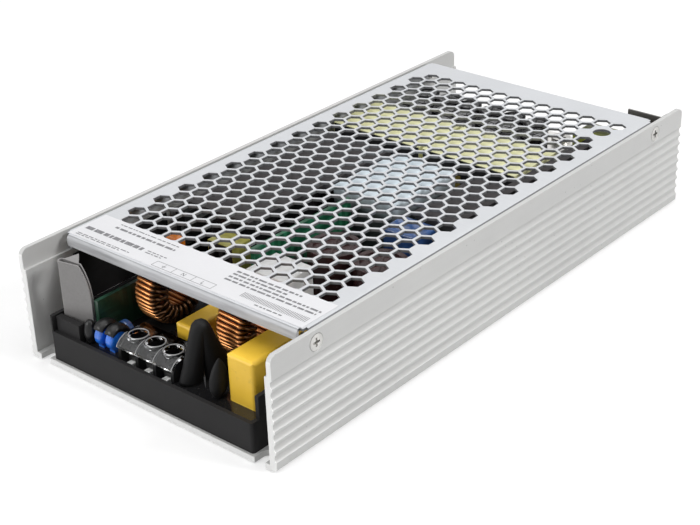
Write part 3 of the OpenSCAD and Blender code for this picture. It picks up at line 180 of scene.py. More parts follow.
# material building blocks: every pattern reads object coordinates in metres, or the piece's own map
class Finish:
    def __init__(self, name, **sockets):
        self.mat = bpy.data.materials.new(name)
        self.mat.use_nodes = True
        self.tree = self.mat.node_tree
        self.shader = self.tree.nodes["Principled BSDF"]
        for key, value in sockets.items():
            self.shader.inputs[key.replace("_", " ")].default_value = value

    def link(self, source, socket):
        self.tree.links.new(source, socket)

    def coords(self, scale=(1, 1, 1), source="Object"):
        where = addNode(self.tree, "ShaderNodeTexCoord")
        mapped = addNode(self.tree, "ShaderNodeMapping", Scale=scale)
        self.link(where.outputs[source], mapped.inputs["Vector"])
        return mapped.outputs["Vector"]

    def axis(self, letter):  # one object coordinate, in metres
        where = addNode(self.tree, "ShaderNodeTexCoord")
        split = addNode(self.tree, "ShaderNodeSeparateXYZ")
        self.link(where.outputs["Object"], split.inputs[0])
        return split.outputs[letter]

    def away(self, letter):  # the same coordinate without its sign
        return self.sums("ABSOLUTE", self.axis(letter))

    def noise(self, scale, detail=3, rough=0.55, warp=0, source="Object"):  # three scales stretch the pattern
        node = addNode(self.tree, "ShaderNodeTexNoise", Detail=detail, Roughness=rough, Distortion=warp)
        stretched = isinstance(scale, tuple)
        node.inputs["Scale"].default_value = 1 if stretched else scale
        self.link(self.coords(scale if stretched else (1, 1, 1), source), node.inputs["Vector"])
        return node.outputs["Fac"]

    def cells(self, scale):  # distance from the middle of scattered cells
        node = addNode(self.tree, "ShaderNodeTexVoronoi", Scale=scale)
        self.link(self.coords(), node.inputs["Vector"])
        return node.outputs["Distance"]

    def ramp(self, fac, stops):
        node = addNode(self.tree, "ShaderNodeValToRGB")
        marks = node.color_ramp.elements
        while len(marks) < len(stops):
            marks.new(0.5)
        for mark, (at, colour) in zip(marks, stops):
            mark.position, mark.color = at, (*colour, 1)
        self.link(fac, node.inputs[0])
        return node.outputs["Color"]

    def tones(self, fac, deep, pale, low=0.3, high=0.7):  # from one colour to another
        return self.ramp(fac, [(low, deep), (high, pale)])

    def span(self, value, low, high, fromLow=0, fromHigh=1):
        return ranged(self.tree, value, fromLow, fromHigh, low, high)

    def sums(self, operation, a, b=0):
        return joined(self.tree, operation, a, b)

    def blend(self, a, b, share):  # one pattern's share, and the rest of the other
        return self.sums("ADD", self.span(a, 0, share), self.span(b, 0, 1 - share))

    def mix(self, fac, a, b):  # colours or outputs mixed by an output
        node = addNode(self.tree, "ShaderNodeMix")
        node.data_type = "RGBA"
        for socket, value in zip((node.inputs[0], node.inputs[6], node.inputs[7]), (fac, a, b)):
            if isinstance(value, tuple):
                socket.default_value = (*value, 1)
            else:
                self.link(value, socket)
        return node.outputs[2]

    def colour(self, source):
        self.link(source, self.shader.inputs["Base Color"])

    def rough(self, value, low, high):
        self.link(self.span(value, low, high), self.shader.inputs["Roughness"])

    def bump(self, height, depth, strength):  # depth of the relief in millimetres
        node = addNode(self.tree, "ShaderNodeBump", Strength=strength, Distance=depth * mm)
        self.link(height, node.inputs["Height"])
        normal = self.shader.inputs["Normal"]
        if normal.is_linked:
            self.link(normal.links[0].from_socket, node.inputs["Normal"])
        self.link(node.outputs[0], normal)


# settings of the finishes: pattern scales are per metre, places in metres, rough is the range of roughness
anodisedSet = {
    "pale": (0.6, 0.6, 0.59), "deep": (0.54, 0.54, 0.535), "rough": (0.4, 0.56),
    "drawn": (900, 5, 900), "cloud": 26, "grain": 2600,
    "speck": (0.2, 0.2, 0.2), "pits": 420, "patches": 60,
    # sawn ends: bare metal colour, lifted further by painted highlight
    "cut": (0.9, 0.9, 0.89), "endY": 0.1199, "endFade": 0.0002,
    # painted highlight on the rib edges: its colour, where it starts, where it is full and where it stops in |x|, and
    # the noise scale that breaks it up
    "ribGlint": (0.6, 0.6, 0.59), "ribGlintFrom": 0.0571, "ribGlintFull": 0.0573, "ribGlintTo": 0.05749, "mottle": 700,
}


def anodised(name, s):
    # extruded channel: fine blasted grain, faint draw lines, a few dark pits, painted highlights along the rib edges,
    # and bright sawn ends that are bare metal lifted further by painted highlight
    f = Finish(name, Metallic=0.15)
    lines = f.noise(s["drawn"], 2, 0.5)
    cloud = f.noise(s["cloud"], 4)
    base = f.tones(f.sums("ADD", f.span(lines, 0, 0.12), f.span(cloud, 0.1, 0.88)), s["deep"], s["pale"])
    pitted = f.sums("MULTIPLY", f.span(f.cells(s["pits"]), 1, 0, 0.07, 0.12),
                    f.span(f.noise(s["patches"], 1), 0, 1, 0.56, 0.62))
    base = f.mix(f.span(pitted, 0, 0.6), base, s["speck"])
    # painted highlight: thin bright lines along the rib edges, broken up by noise
    outside = f.away("X")
    ribGlint = f.sums("MULTIPLY", f.span(outside, 0, 1, s["ribGlintFrom"], s["ribGlintFull"]),
                  f.sums("LESS_THAN", outside, s["ribGlintTo"]))
    ribGlint = f.sums("MULTIPLY", ribGlint, f.span(f.noise(s["mottle"], 3), 0.2, 1, 0.35, 0.65))
    # sawn ends: bare metal, brightened further with painted highlight
    ends = f.span(f.away("Y"), 0, 1, s["endY"] - s["endFade"], s["endY"])
    f.colour(f.mix(ends, f.mix(ribGlint, base, s["ribGlint"]), s["cut"]))
    grain = f.noise(s["grain"], 2)
    f.rough(grain, *s["rough"])
    f.bump(grain, 0.02, 0.5)
    f.bump(lines, 0.002, 0.2)
    return f.mat


sheetSet = {
    "pale": (0.63, 0.643, 0.665), "deep": (0.575, 0.588, 0.61), "rough": (0.42, 0.58),
    "rolled": (14, 1500, 900), "marks": 34, "grain": 1800,
    "edge": (0.16, 0.163, 0.17), "edgeLow": 0.0399, "edgeHigh": 0.0408,
    # lip colours: painted shade on the lips, with streaks
    "lipShade": (0.55, 0.555, 0.57), "lipShadeDeep": (0.42, 0.425, 0.44), "streaks": (60, 300, 700),
    "lipFrom": 0.102, "lipFull": 0.1026,
}


def coverSheet(name, s):
    # folded cover: cool satin sheet with fine rolling lines and faint handling marks;
    # the punched edges of the holes are dark, and the lips are darker with painted shade, with streaks along them
    f = Finish(name, Metallic=0.15)
    lines = f.noise(s["rolled"], 3, 0.6)
    marks = f.noise(s["marks"], 5, 0.6, 0.6)
    top = f.tones(f.blend(lines, marks, 0.45), s["deep"], s["pale"], 0.3, 0.68)
    height = f.axis("Z")
    edge = f.sums("MULTIPLY", f.sums("GREATER_THAN", height, s["edgeLow"]),
                  f.sums("LESS_THAN", height, s["edgeHigh"]))
    # painted shade: the lips darkened, with streaks along them
    lipShade = f.span(f.away("Y"), 0, 1, s["lipFrom"], s["lipFull"])
    shadedLipStreaks = f.tones(f.noise(s["streaks"], 4, 0.6), s["lipShadeDeep"], s["lipShade"], 0.35, 0.62)
    f.colour(f.mix(lipShade, f.mix(edge, top, s["edge"]), shadedLipStreaks))
    f.rough(f.blend(lines, marks, 0.5), *s["rough"])
    f.bump(f.noise(s["grain"], 2), 0.008, 0.4)
    return f.mat


paperSet = {
    "pale": (0.76, 0.76, 0.78), "deep": (0.72, 0.72, 0.74), "rough": (0.42, 0.56), "fibre": 900, "cloud": 40,
}


def labelPaper(name, s):  # label stock: slightly uneven white with a soft film gloss
    f = Finish(name, Specular_IOR_Level=0.45)
    fibre = f.noise(s["fibre"], 4, 0.6)
    f.colour(f.tones(f.blend(fibre, f.noise(s["cloud"], 3), 0.4), s["deep"], s["pale"], 0.3, 0.65))
    f.rough(fibre, *s["rough"])
    f.bump(fibre, 0.006, 0.4)
    return f.mat


inkSet = {"pale": (0.3, 0.3, 0.31), "deep": (0.16, 0.16, 0.17), "rough": (0.5, 0.7), "thin": 1600, "sheen": 700}


def ink(name, s):  # printed marks: grey-black ink with thin patches
    f = Finish(name, Specular_IOR_Level=0.3)
    f.colour(f.tones(f.noise(s["thin"], 3), s["deep"], s["pale"], 0.3, 0.75))
    f.rough(f.noise(s["sheen"], 2), *s["rough"])
    return f.mat


metalBase = {"rolled": (2200, 60, 2200), "spots": 220, "grain": 1500}
metalSet = {
    "screwSteel": {"pale": (0.62, 0.61, 0.59), "deep": (0.44, 0.435, 0.42), "rough": (0.26, 0.46)},
    "tinnedBrass": {"pale": (0.8, 0.79, 0.77), "deep": (0.66, 0.65, 0.62), "rough": (0.22, 0.42)},
    "barSteel": {"pale": (0.55, 0.55, 0.55), "deep": (0.42, 0.42, 0.42), "rough": (0.3, 0.5)},
    "gildedPin": {"pale": (0.78, 0.6, 0.25), "deep": (0.62, 0.46, 0.18), "rough": (0.2, 0.36)},
    # terminal screws: steel painted nearly black as the shade of the deep wells they sit in
    "wellShadedScrew": {"pale": (0.06, 0.06, 0.06), "deep": (0.035, 0.035, 0.035), "rough": (0.4, 0.6)},
}


def metal(name, s):  # plated metal: rolling marks and dull spots
    s = {**metalBase, **s}
    f = Finish(name, Metallic=1.0)
    spots = f.noise(s["spots"], 4, 0.6)
    f.colour(f.tones(spots, s["deep"], s["pale"], 0.3, 0.65))
    f.rough(f.blend(f.noise(s["rolled"], 3, 0.6), spots, 0.5), *s["rough"])
    f.bump(f.noise(s["grain"], 2), 0.006, 0.4)
    return f.mat


clampSet = {
    # the two dark colours are painted shade behind the tips of the tongues
    "pale": (0.95, 0.95, 0.93), "inShade": (0.1, 0.098, 0.095), "deep": (0.06, 0.059, 0.057), "rough": (0.3, 0.5),
    "tip": -0.1143, "fade": 0.0006, "spots": 260, "rubbed": 900, "grain": 1500,
}


def clampTin(name, s):  # tinned wire clamps: tin colour at the front tips of their tongues, and painted shade, nearly black, behind them
    f = Finish(name, Metallic=0.2)
    # painted shade: the clamps darkened behind the front tips of their tongues
    inShade = f.tones(f.noise(s["spots"], 4, 0.6), s["deep"], s["inShade"])
    f.colour(f.mix(f.span(f.axis("Y"), 1, 0, s["tip"], s["tip"] + s["fade"]), inShade, s["pale"]))
    f.rough(f.noise(s["rubbed"], 3), *s["rough"])
    f.bump(f.noise(s["grain"], 2), 0.006, 0.4)
    return f.mat


plasticBase = {"rough": (0.34, 0.48), "grain": 1900, "flow": 45, "relief": 0.02, "gloss": 0.5}
plasticSet = {
    "trayBlack": {"pale": (0.022, 0.0214, 0.022), "deep": (0.015, 0.0147, 0.015), "rough": (0.5, 0.66),
                  "gloss": 0.15},
    "blockBlack": {"pale": (0.012, 0.012, 0.0125), "deep": (0.008, 0.008, 0.0085), "rough": (0.44, 0.6),
                   "grain": 1500, "gloss": 0.2},
    "sinteredCore": {"pale": (0.035, 0.035, 0.038), "deep": (0.02, 0.02, 0.022), "rough": (0.55, 0.75),
                     "grain": 1300, "relief": 0.04, "gloss": 0.3},
    "glossSleeve": {"pale": (0.01, 0.01, 0.0105), "deep": (0.006, 0.006, 0.0065), "rough": (0.24, 0.4),
                    "grain": 700, "relief": 0.04, "gloss": 0.3},
    # pale beads on the clear cover: painted highlight of its edges
    "paintedRimGlint": {"pale": (0.5, 0.5, 0.5), "deep": (0.32, 0.32, 0.325), "rough": (0.2, 0.36), "grain": 260},
    "greyFilm": {"pale": (0.27, 0.262, 0.26), "deep": (0.21, 0.203, 0.2), "rough": (0.34, 0.5), "grain": 900},
    "darkFilm": {"pale": (0.12, 0.115, 0.11), "deep": (0.08, 0.077, 0.074), "rough": (0.34, 0.5), "grain": 900},
    "whiteCase": {"pale": (0.94, 0.94, 0.94), "deep": (0.87, 0.87, 0.86)},
    "chipBlack": {"pale": (0.03, 0.03, 0.03), "deep": (0.016, 0.016, 0.016), "rough": (0.45, 0.62), "grain": 2400},
    "greyPad": {"pale": (0.075, 0.069, 0.071), "deep": (0.052, 0.048, 0.05), "rough": (0.62, 0.82),
                "grain": 1200, "relief": 0.05, "gloss": 0.2},
    "greyBox": {"pale": (0.06, 0.06, 0.055), "deep": (0.04, 0.04, 0.036), "rough": (0.36, 0.5)},
    "ivoryPlug": {"pale": (0.8, 0.77, 0.66), "deep": (0.7, 0.66, 0.55)},
}


def mouldedPlastic(name, s):  # spark-eroded grain and faint flow marks
    s = {**plasticBase, **s}
    f = Finish(name, Specular_IOR_Level=s["gloss"])
    skin = f.noise(s["grain"], 3, 0.6)
    flow = f.noise(s["flow"], 4, 0.6, 0.8)
    f.colour(f.tones(f.blend(skin, flow, 0.35), s["deep"], s["pale"], 0.3, 0.68))
    f.rough(f.blend(skin, flow, 0.4), *s["rough"])
    f.bump(skin, s["relief"], 0.5)
    return f.mat


pottingSet = {
    "pale": (0.02, 0.02, 0.021), "deep": (0.008, 0.008, 0.009), "dust": (0.16, 0.15, 0.14), "rough": (0.07, 0.3),
    "waves": 55, "grains": 1400,
}


def pottingGloss(name, s):  # poured compound: mirror-like with slow waves, a few dust grains
    f = Finish(name, Specular_IOR_Level=0.5)
    wave = f.noise(s["waves"], 2, 0.4)
    dust = f.span(f.noise(s["grains"], 2), 0, 1, 0.66, 0.74)
    f.colour(f.mix(f.span(dust, 0, 0.25), f.tones(wave, s["deep"], s["pale"]), s["dust"]))
    f.rough(f.blend(wave, dust, 0.5), *s["rough"])
    f.bump(wave, 0.35, 0.5)
    return f.mat


boardBase = {"rough": (0.3, 0.45), "patches": 70, "weave": 1500}
boardSet = {
    "filterGreen": {"mask": (0.018, 0.062, 0.036), "deep": (0.013, 0.045, 0.027), "track": (0.024, 0.085, 0.05),
                    "pitch": 260},
    "controlGreen": {"mask": (0.014, 0.14, 0.065), "deep": (0.009, 0.09, 0.042), "track": (0.03, 0.2, 0.1),
                     "pitch": 310},
}


def boardGreen(name, s):  # lacquered circuit board: level and upright tracks shining through the green
    s = {**boardBase, **s}
    f = Finish(name, Specular_IOR_Level=0.5, Coat_Weight=0.3, Coat_Roughness=0.12)
    patch = f.noise(s["patches"], 1, 0.4)
    upright, level = (f.span(f.sums("FRACT", f.sums("MULTIPLY", f.axis(a), s["pitch"])), 0, 1, 0.52, 0.58)
                      for a in ("Y", "Z"))
    lane = f.sums("MAXIMUM", f.sums("MULTIPLY", upright, f.span(patch, 0, 1, 0.5, 0.53)),
                  f.sums("MULTIPLY", level, f.span(patch, 1, 0, 0.4, 0.43)))
    weave = f.noise(s["weave"], 2)
    f.colour(f.mix(lane, f.tones(weave, s["deep"], s["mask"]), s["track"]))
    f.rough(weave, *s["rough"])
    f.bump(lane, 0.03, 0.5)
    f.bump(weave, 0.006, 0.3)
    return f.mat


clearSet = {"tint": (0.97, 0.98, 0.99, 1), "bending": 1.47, "rough": (0.02, 0.14), "haze": 90}


def clearPlastic(name, s):  # clear moulded cover: a little haze and shallow flow marks
    f = Finish(name, Base_Color=s["tint"], Transmission_Weight=1.0, IOR=s["bending"])
    haze = f.noise(s["haze"], 3, 0.6)
    f.rough(haze, *s["rough"])
    f.bump(haze, 0.05, 0.3)
    return f.mat


copperBase = {
    "bright": (0.7, 0.315, 0.112), "mid": (0.61, 0.253, 0.082), "deep": (0.4, 0.15, 0.05), "rough": (0.24, 0.38),
    # the first two settings here are the painted shade on the flank: its colour, and the share of the wire's colour
    # kept under it
    "shade": (0.02, 0.012, 0.008), "inShade": 0.13, "fade": 2 * mm, "runs": (0.9, 3, 1), "mottle": 600,
}
copperSet = {"leftCopper": {"shadeX": -0.0186}, "rightCopper": {"shadeX": 0.0226}}


def enamelledCopper(name, s):
    # lacquered wire: warm copper, darker varnish runs along the wire, small scuffs; painted shade on the flank right of
    # shadeX
    s = {**copperBase, **s}
    f = Finish(name, Metallic=0.85, Coat_Weight=0.15, Coat_Roughness=0.2)
    along = f.noise(s["runs"], 3, 0.6, source="UV")
    spots = f.noise(s["mottle"], 3, 0.6)
    wire = f.ramp(f.blend(along, spots, 0.8), [(0.28, s["deep"]), (0.42, s["mid"]), (0.66, s["bright"])])
    # painted shade on the flank that faces away from the light, right of shadeX
    inShade = f.span(f.axis("X"), 0, 1 - s["inShade"], s["shadeX"], s["shadeX"] + s["fade"])
    f.colour(f.mix(inShade, wire, s["shade"]))
    f.rough(along, *s["rough"])
    f.bump(spots, 0.004, 0.3)
    return f.mat


filmSet = {
    "pale": (1.0, 0.64, 0.06), "deep": (0.92, 0.57, 0.046), "dirt": (0.5, 0.3, 0.04), "rough": (0.3, 0.48),
    "skin": 1100, "cloud": 85, "grime": 240,
}


def yellowCase(name, s):  # moulded capacitor box: soft mottling, eggshell skin, faint grime
    f = Finish(name, Specular_IOR_Level=0.5)
    skin = f.noise(s["skin"], 3, 0.6)
    cloud = f.noise(s["cloud"], 4, 0.6)
    grime = f.span(f.noise(s["grime"], 5, 0.7), 0, 0.5, 0.6, 0.78)
    f.colour(f.mix(grime, f.tones(cloud, s["deep"], s["pale"], 0.3, 0.66), s["dirt"]))
    f.rough(f.blend(skin, cloud, 0.5), *s["rough"])
    f.bump(skin, 0.03, 0.5)
    f.bump(cloud, 0.12, 0.4)
    return f.mat


lacquerBase = {"rough": (0.16, 0.3), "peel": 520, "cloud": 190}
lacquerSet = {
    "blueLacquer": {"pale": (0.02, 0.2, 0.9), "deep": (0.014, 0.14, 0.66)},
    "deepBlueLacquer": {"pale": (0.05, 0.13, 0.36), "deep": (0.035, 0.09, 0.26)},
    "orangeLacquer": {"pale": (0.8, 0.24, 0.02), "deep": (0.62, 0.15, 0.012)},
}


def lacquer(name, s):  # dipped lacquer: high gloss, orange-peel skin
    s = {**lacquerBase, **s}
    f = Finish(name, Specular_IOR_Level=0.5, Coat_Weight=0.6, Coat_Roughness=0.06)
    peel = f.noise(s["peel"], 2, 0.5)
    f.colour(f.tones(f.noise(s["cloud"], 3), s["deep"], s["pale"], 0.3, 0.68))
    f.rough(peel, *s["rough"])
    f.bump(peel, 0.05, 0.4)
    return f.mat


sleeveSet = {
    "pale": (0.011, 0.011, 0.0115), "deep": (0.006, 0.006, 0.0065), "rough": (0.42, 0.66),
    "creases": (420, 420, 120), "skin": 1600,
}


def shrinkSleeve(name, s):  # shrunk tube: matt rubbery skin with fine creases along its height
    f = Finish(name, Specular_IOR_Level=0.16)
    crease = f.noise(s["creases"], 4, 0.65, 0.5)
    skin = f.noise(s["skin"], 2)
    f.colour(f.tones(f.blend(crease, skin, 0.6), s["deep"], s["pale"]))
    f.rough(crease, *s["rough"])
    f.bump(crease, 0.16, 0.5)
    f.bump(skin, 0.015, 0.4)
    return f.mat


tapeBase = {"rough": (0.22, 0.4), "cloud": 120}
tapeSet = {
    "yellowTape": {"pale": (0.94, 0.93, 0.56), "deep": (0.86, 0.84, 0.46), "wraps": 230},
    "dullTape": {"pale": (0.46, 0.43, 0.11), "deep": (0.36, 0.33, 0.08), "wraps": 420},
    "coilTape": {"pale": (0.6, 0.46, 0.12), "deep": (0.42, 0.3, 0.07), "wraps": 420},
    "greenChoke": {"pale": (0.52, 0.56, 0.1), "deep": (0.36, 0.4, 0.06), "wraps": 300},
}


def windingTape(name, s):  # polyester tape: shiny film, overlapping wraps
    s = {**tapeBase, **s}
    f = Finish(name, Specular_IOR_Level=0.5, Coat_Weight=0.25, Coat_Roughness=0.15)
    edge = f.sums("FRACT", f.sums("MULTIPLY", f.axis("Y"), s["wraps"]))
    cloud = f.noise(s["cloud"], 4, 0.6)
    f.colour(f.tones(f.blend(edge, cloud, 0.35), s["deep"], s["pale"], 0.25, 0.7))
    f.rough(cloud, *s["rough"])
    f.bump(edge, 0.05, 0.4)
    f.bump(cloud, 0.1, 0.3)
    return f.mat


wrapSet = {
    # the third colour is the painted shade towards the board, faded in from low to high
    "pale": (0.84, 0.93, 0.99), "deep": (0.76, 0.87, 0.94), "foot": (0.05, 0.06, 0.06), "rough": (0.3, 0.46),
    "low": 0.0305, "high": 0.0362, "cloud": 120,
}


def paleWrap(name, s):  # pale wrap of the boost choke: soft film, darkened towards the board with painted shade
    f = Finish(name, Specular_IOR_Level=0.5)
    cloud = f.noise(s["cloud"], 4, 0.6)
    pale = f.tones(cloud, s["deep"], s["pale"])
    # painted shade: darker towards the board, from low up to high
    f.colour(f.mix(f.span(f.axis("Z"), 0, 1, s["low"], s["high"]), s["foot"], pale))
    f.rough(cloud, *s["rough"])
    f.bump(cloud, 0.1, 0.3)
    return f.mat


canBase = {"rough": (0.18, 0.32), "film": (220, 220, 30), "sheen": 400}
canSet = {
    "darkCan": {"pale": (0.022, 0.019, 0.022), "deep": (0.012, 0.01, 0.012)},
    "brownCan": {"pale": (0.065, 0.026, 0.026), "deep": (0.035, 0.014, 0.015)},
}


def canSleeve(name, s):  # plastic-sleeved can: glossy film with shallow wrinkles
    s = {**canBase, **s}
    f = Finish(name, Specular_IOR_Level=0.5)
    film = f.noise(s["film"], 3, 0.5)
    f.colour(f.tones(film, s["deep"], s["pale"]))
    f.rough(f.noise(s["sheen"], 2), *s["rough"])
    f.bump(film, 0.05, 0.4)
    return f.mat


ventSet = {
    **canBase, **canSet["darkCan"], "rough": (0.2, 0.36),
    "floor": 33.044 * mm, "band": 0.12 * mm, "bare": (0.62, 0.62, 0.62), "bareDeep": (0.45, 0.45, 0.46),
    "spots": 300, "metallic": 0.6,
}


def ventedCan(name, s):  # sleeved can with a bare metal top sunk inside the rolled edge of the sleeve
    f = Finish(name, Specular_IOR_Level=0.5)
    film = f.noise(s["film"], 3, 0.5)
    off = f.sums("ABSOLUTE", f.sums("SUBTRACT", f.axis("Z"), s["floor"]))
    bare = f.sums("LESS_THAN", off, s["band"])
    top = f.tones(f.noise(s["spots"], 3), s["bareDeep"], s["bare"])
    f.colour(f.mix(bare, f.tones(film, s["deep"], s["pale"]), top))
    f.link(f.span(bare, 0, s["metallic"]), f.shader.inputs["Metallic"])
    f.rough(f.noise(s["sheen"], 2), *s["rough"])
    f.bump(film, 0.05, 0.4)
    return f.mat


# every finish by its name: which function makes it, from which settings
finishMakers = {
    anodised: {"anodisedChannel": anodisedSet}, coverSheet: {"coverSheet": sheetSet},
    labelPaper: {"labelPaper": paperSet}, ink: {"labelInk": inkSet},
    metal: metalSet, clampTin: {"clampTin": clampSet},
    mouldedPlastic: plasticSet, pottingGloss: {"pottingGloss": pottingSet},
    boardGreen: boardSet, clearPlastic: {"clearPlastic": clearSet},
    enamelledCopper: copperSet, yellowCase: {"yellowCase": filmSet},
    lacquer: lacquerSet, shrinkSleeve: {"blackSleeve": sleeveSet},
    windingTape: tapeSet, paleWrap: {"paleBlueWrap": wrapSet},
    canSleeve: canSet, ventedCan: {"ventedCan": ventSet},
}
finishes = {name: make(name, s) for make, rows in finishMakers.items() for name, s in rows.items()}
print("finishes made:", len(finishes))

# which solids get each finish
finishOf = {
    "anodisedChannel": ["chassis"],
    "coverSheet": ["top_cover"],
    "labelPaper": ["rating_label"],
    "screwSteel": ["cover_screws", "output_screws"],
    "wellShadedScrew": ["terminal_screws"],
    "tinnedBrass": ["output_busbars"],
    "clampTin": ["terminal_clamps"],
    "barSteel": ["clamp_bars"],
    "gildedPin": ["signal_pins"],
    "trayBlack": ["insulating_tray", "barrier_strip", "side_liner"],
    "blockBlack": ["terminal_block", "output_terminal_base", "choke_bases"],
    "pottingGloss": ["potting"],
    "filterGreen": ["main_board", "filter_board"],
    "controlGreen": ["control_board"],
    "clearPlastic": ["terminal_cover"],
    "leftCopper": ["left_choke_winding"],
    "rightCopper": ["right_choke_winding"],
    "sinteredCore": ["left_choke_core", "right_choke_core", "standby_core", "transformer_cores"],
    "yellowCase": ["large_film_capacitor", "small_film_capacitor"],
    "blueLacquer": ["varistors"],
    "deepBlueLacquer": ["blue_capacitor", "small_disc_capacitor"],
    "orangeLacquer": ["orange_capacitor"],
    "blackSleeve": ["bent_sleeve", "sleeved_thermistor"],
    "glossSleeve": ["varistor_sleeves", "fuse_sleeve"],
    "greyFilm": ["folded_insulator", "wall_pads"],
    "darkFilm": ["corner_insulator"],
    "whiteCase": ["relay"],
    "yellowTape": ["transformer_tapes"],
    "dullTape": ["standby_tape"],
    "coilTape": ["transformer_windings"],
    "greenChoke": ["output_choke"],
    "paleBlueWrap": ["boost_choke"],
    "chipBlack": ["control_chips", "power_transistors"],
    "darkCan": ["bulk_capacitors"],
    "ventedCan": ["output_capacitors"],
    "brownCan": ["input_capacitors"],
    "greyPad": ["left_heat_pad", "right_heat_pad"],
    "greyBox": ["resonant_capacitors"],
    "ivoryPlug": ["signal_connector"],
}
for finish, nodes in finishOf.items():
    for node in nodes:
        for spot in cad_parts[node].material_slots:
            spot.material = finishes[finish]
print("solids finished:", sum(len(n) for n in finishOf.values()), "of", len(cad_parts))


def putMesh(name, verts, faces, finish, uv=None, smooth=True):
    # whole arrays in, one finished piece out; faces is a list of index arrays, each with its own count of corners
    mesh = bpy.data.meshes.new(name)
    sizes = np.concatenate([np.full(len(f), f.shape[1], np.int32) for f in faces])
    loops = np.concatenate([f.ravel() for f in faces]).astype(np.int32)
    mesh.vertices.add(len(verts))
    mesh.vertices.foreach_set("co", np.asarray(verts, np.float32).ravel())
    mesh.loops.add(len(loops))
    mesh.loops.foreach_set("vertex_index", loops)
    mesh.polygons.add(len(sizes))
    mesh.polygons.foreach_set("loop_start", np.concatenate([[0], np.cumsum(sizes)[:-1]]).astype(np.int32))
    mesh.polygons.foreach_set("loop_total", sizes)
    mesh.polygons.foreach_set("use_smooth", np.full(len(sizes), smooth))
    if uv is not None:
        mesh.uv_layers.new(name="run").data.foreach_set("uv", np.asarray(uv, np.float32)[loops].ravel())
    mesh.update(calc_edges=True)
    mesh.validate()
    mesh.materials.append(finishes[finish])
    piece = bpy.data.objects.new(name, mesh)
    scene.collection.objects.link(piece)
    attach(piece, "root")
    return piece


mapStep = 10 * mm  # length of wire or sleeve to one unit of its map
acrossX = np.array([1.0, 0.0, 0.0])


def tube(path, side, radiusSide, radiusOver, around):
    # ellipse carried along a path: point = path + cos(v) * radiusSide * n + sin(v) * radiusOver * b,
    # n is the side vector made square to the path's direction, b is direction x n
    step = np.gradient(path, axis=0)
    step /= np.linalg.norm(step, axis=1, keepdims=True)
    n = side - np.sum(side * step, axis=1, keepdims=True) * step
    n /= np.linalg.norm(n, axis=1, keepdims=True)
    b = np.cross(step, n)
    v = np.linspace(0, 2 * math.pi, around, endpoint=False)
    ring = (np.cos(v)[None, :, None] * n[:, None, :] * np.reshape(radiusSide, (-1, 1, 1))
            + np.sin(v)[None, :, None] * b[:, None, :] * np.reshape(radiusOver, (-1, 1, 1)))
    points = path[:, None, :] + ring
    length = np.concatenate([[0], np.cumsum(np.linalg.norm(np.diff(path, axis=0), axis=1))])
    uv = np.stack(np.broadcast_arrays(length[:, None] / mapStep, v[None, :] / (2 * math.pi)), -1)
    return points.reshape(-1, 3), uv.reshape(-1, 2)


def tubeFaces(rings, around):  # quads between neighbouring rings, faces outward, and one flat cap at each end
    i, j = np.meshgrid(np.arange(rings - 1), np.arange(around), indexing="ij")
    k = (j + 1) % around
    quads = np.stack([i * around + j, i * around + k, (i + 1) * around + k, (i + 1) * around + j], -1)
    first = np.arange(around)[None, ::-1]
    last = (np.arange(around) + (rings - 1) * around)[None, :]
    return [quads.reshape(-1, 4), first, last]


def putTubes(name, tubes, around, finish):  # tubes with the same number of rings, as one piece
    verts, uv = (np.concatenate(part) for part in zip(*tubes))
    each = len(tubes[0][0])
    faces = [np.concatenate([f + k * each for k in range(len(tubes))]) for f in tubeFaces(each // around, around)]
    return putMesh(name, verts, faces, finish, uv)


windingSet = {
    "turns": 44, "wire": 1.45 * mm, "coreGap": 0.2 * mm, "climb": 1.3 * mm, "slack": 0.06 * mm,
    "ringDepth": 2.8, "layerStep": 1.15, "sideStep": 1.05, "bend": 0.9,  # in wire thicknesses
    "cornerPoints": 6, "sidePoints": 7, "around": 12,
}


def windingHalf(s, coreWidth, outer, start):
    # helix round the ring's section: turn i lies at angle start + (i + 0.5 + u) * step, where u is the share of the
    # turn's length; the section is a rounded rectangle; every second turn lies one layer further in, and climbs one
    # wire sideways by the smooth step 3 w^2 - 2 w^3 of the depth w below the outer bend, so that it clears the others
    count = s["turns"] // 2 - 1
    i = np.arange(count)
    inside = (i % 2 == 0)[:, None]
    wire = s["wire"]
    inner = outer - (s["ringDepth"] + s["layerStep"] * inside) * wire
    close = coreWidth / 2 + wire / 2 + s["coreGap"]
    lift = wire * s["sideStep"] * inside
    r = s["bend"] * wire
    a = np.linspace(0, math.pi / 2, s["cornerPoints"])[None, :]
    zero = np.zeros((count, 1))
    near, far, top, low = zero + close - r, close + lift - r, zero + outer - r, inner + r
    down = top + (low - top) * np.linspace(0, 1, s["sidePoints"] + 2)[None, 1:-1]
    w = np.clip((top - down) / s["climb"], 0, 1)
    flank = close + lift * (3 * w * w - 2 * w ** 3)
    across = np.concatenate([zero, near + r * np.sin(a), flank, far + r * np.cos(a), zero,
                             -far - r * np.sin(a), -flank[:, ::-1], -near - r * np.cos(a)], 1)
    out = np.concatenate([zero + outer, top + r * np.cos(a), down, low - r * np.sin(a), inner + zero,
                          low - r * np.cos(a), down[:, ::-1], top + r * np.sin(a)], 1)
    leg = np.hypot(np.diff(across, axis=1, append=0), np.diff(out, axis=1, append=outer))
    share = np.concatenate([zero, np.cumsum(leg, 1)[:, :-1]], 1) / np.sum(leg, 1, keepdims=True)
    angle = start + (i[:, None] + 0.5 + share) * (2 * math.pi / s["turns"])
    across, out, angle = across.ravel(), out.ravel(), angle.ravel()
    path = np.stack([across, out * np.cos(angle), out * np.sin(angle)], -1)
    side = np.stack([np.zeros_like(angle), -np.sin(angle), np.cos(angle)], -1)
    radius = wire / 2 - s["slack"]
    return tube(path, side, radius, radius, s["around"])


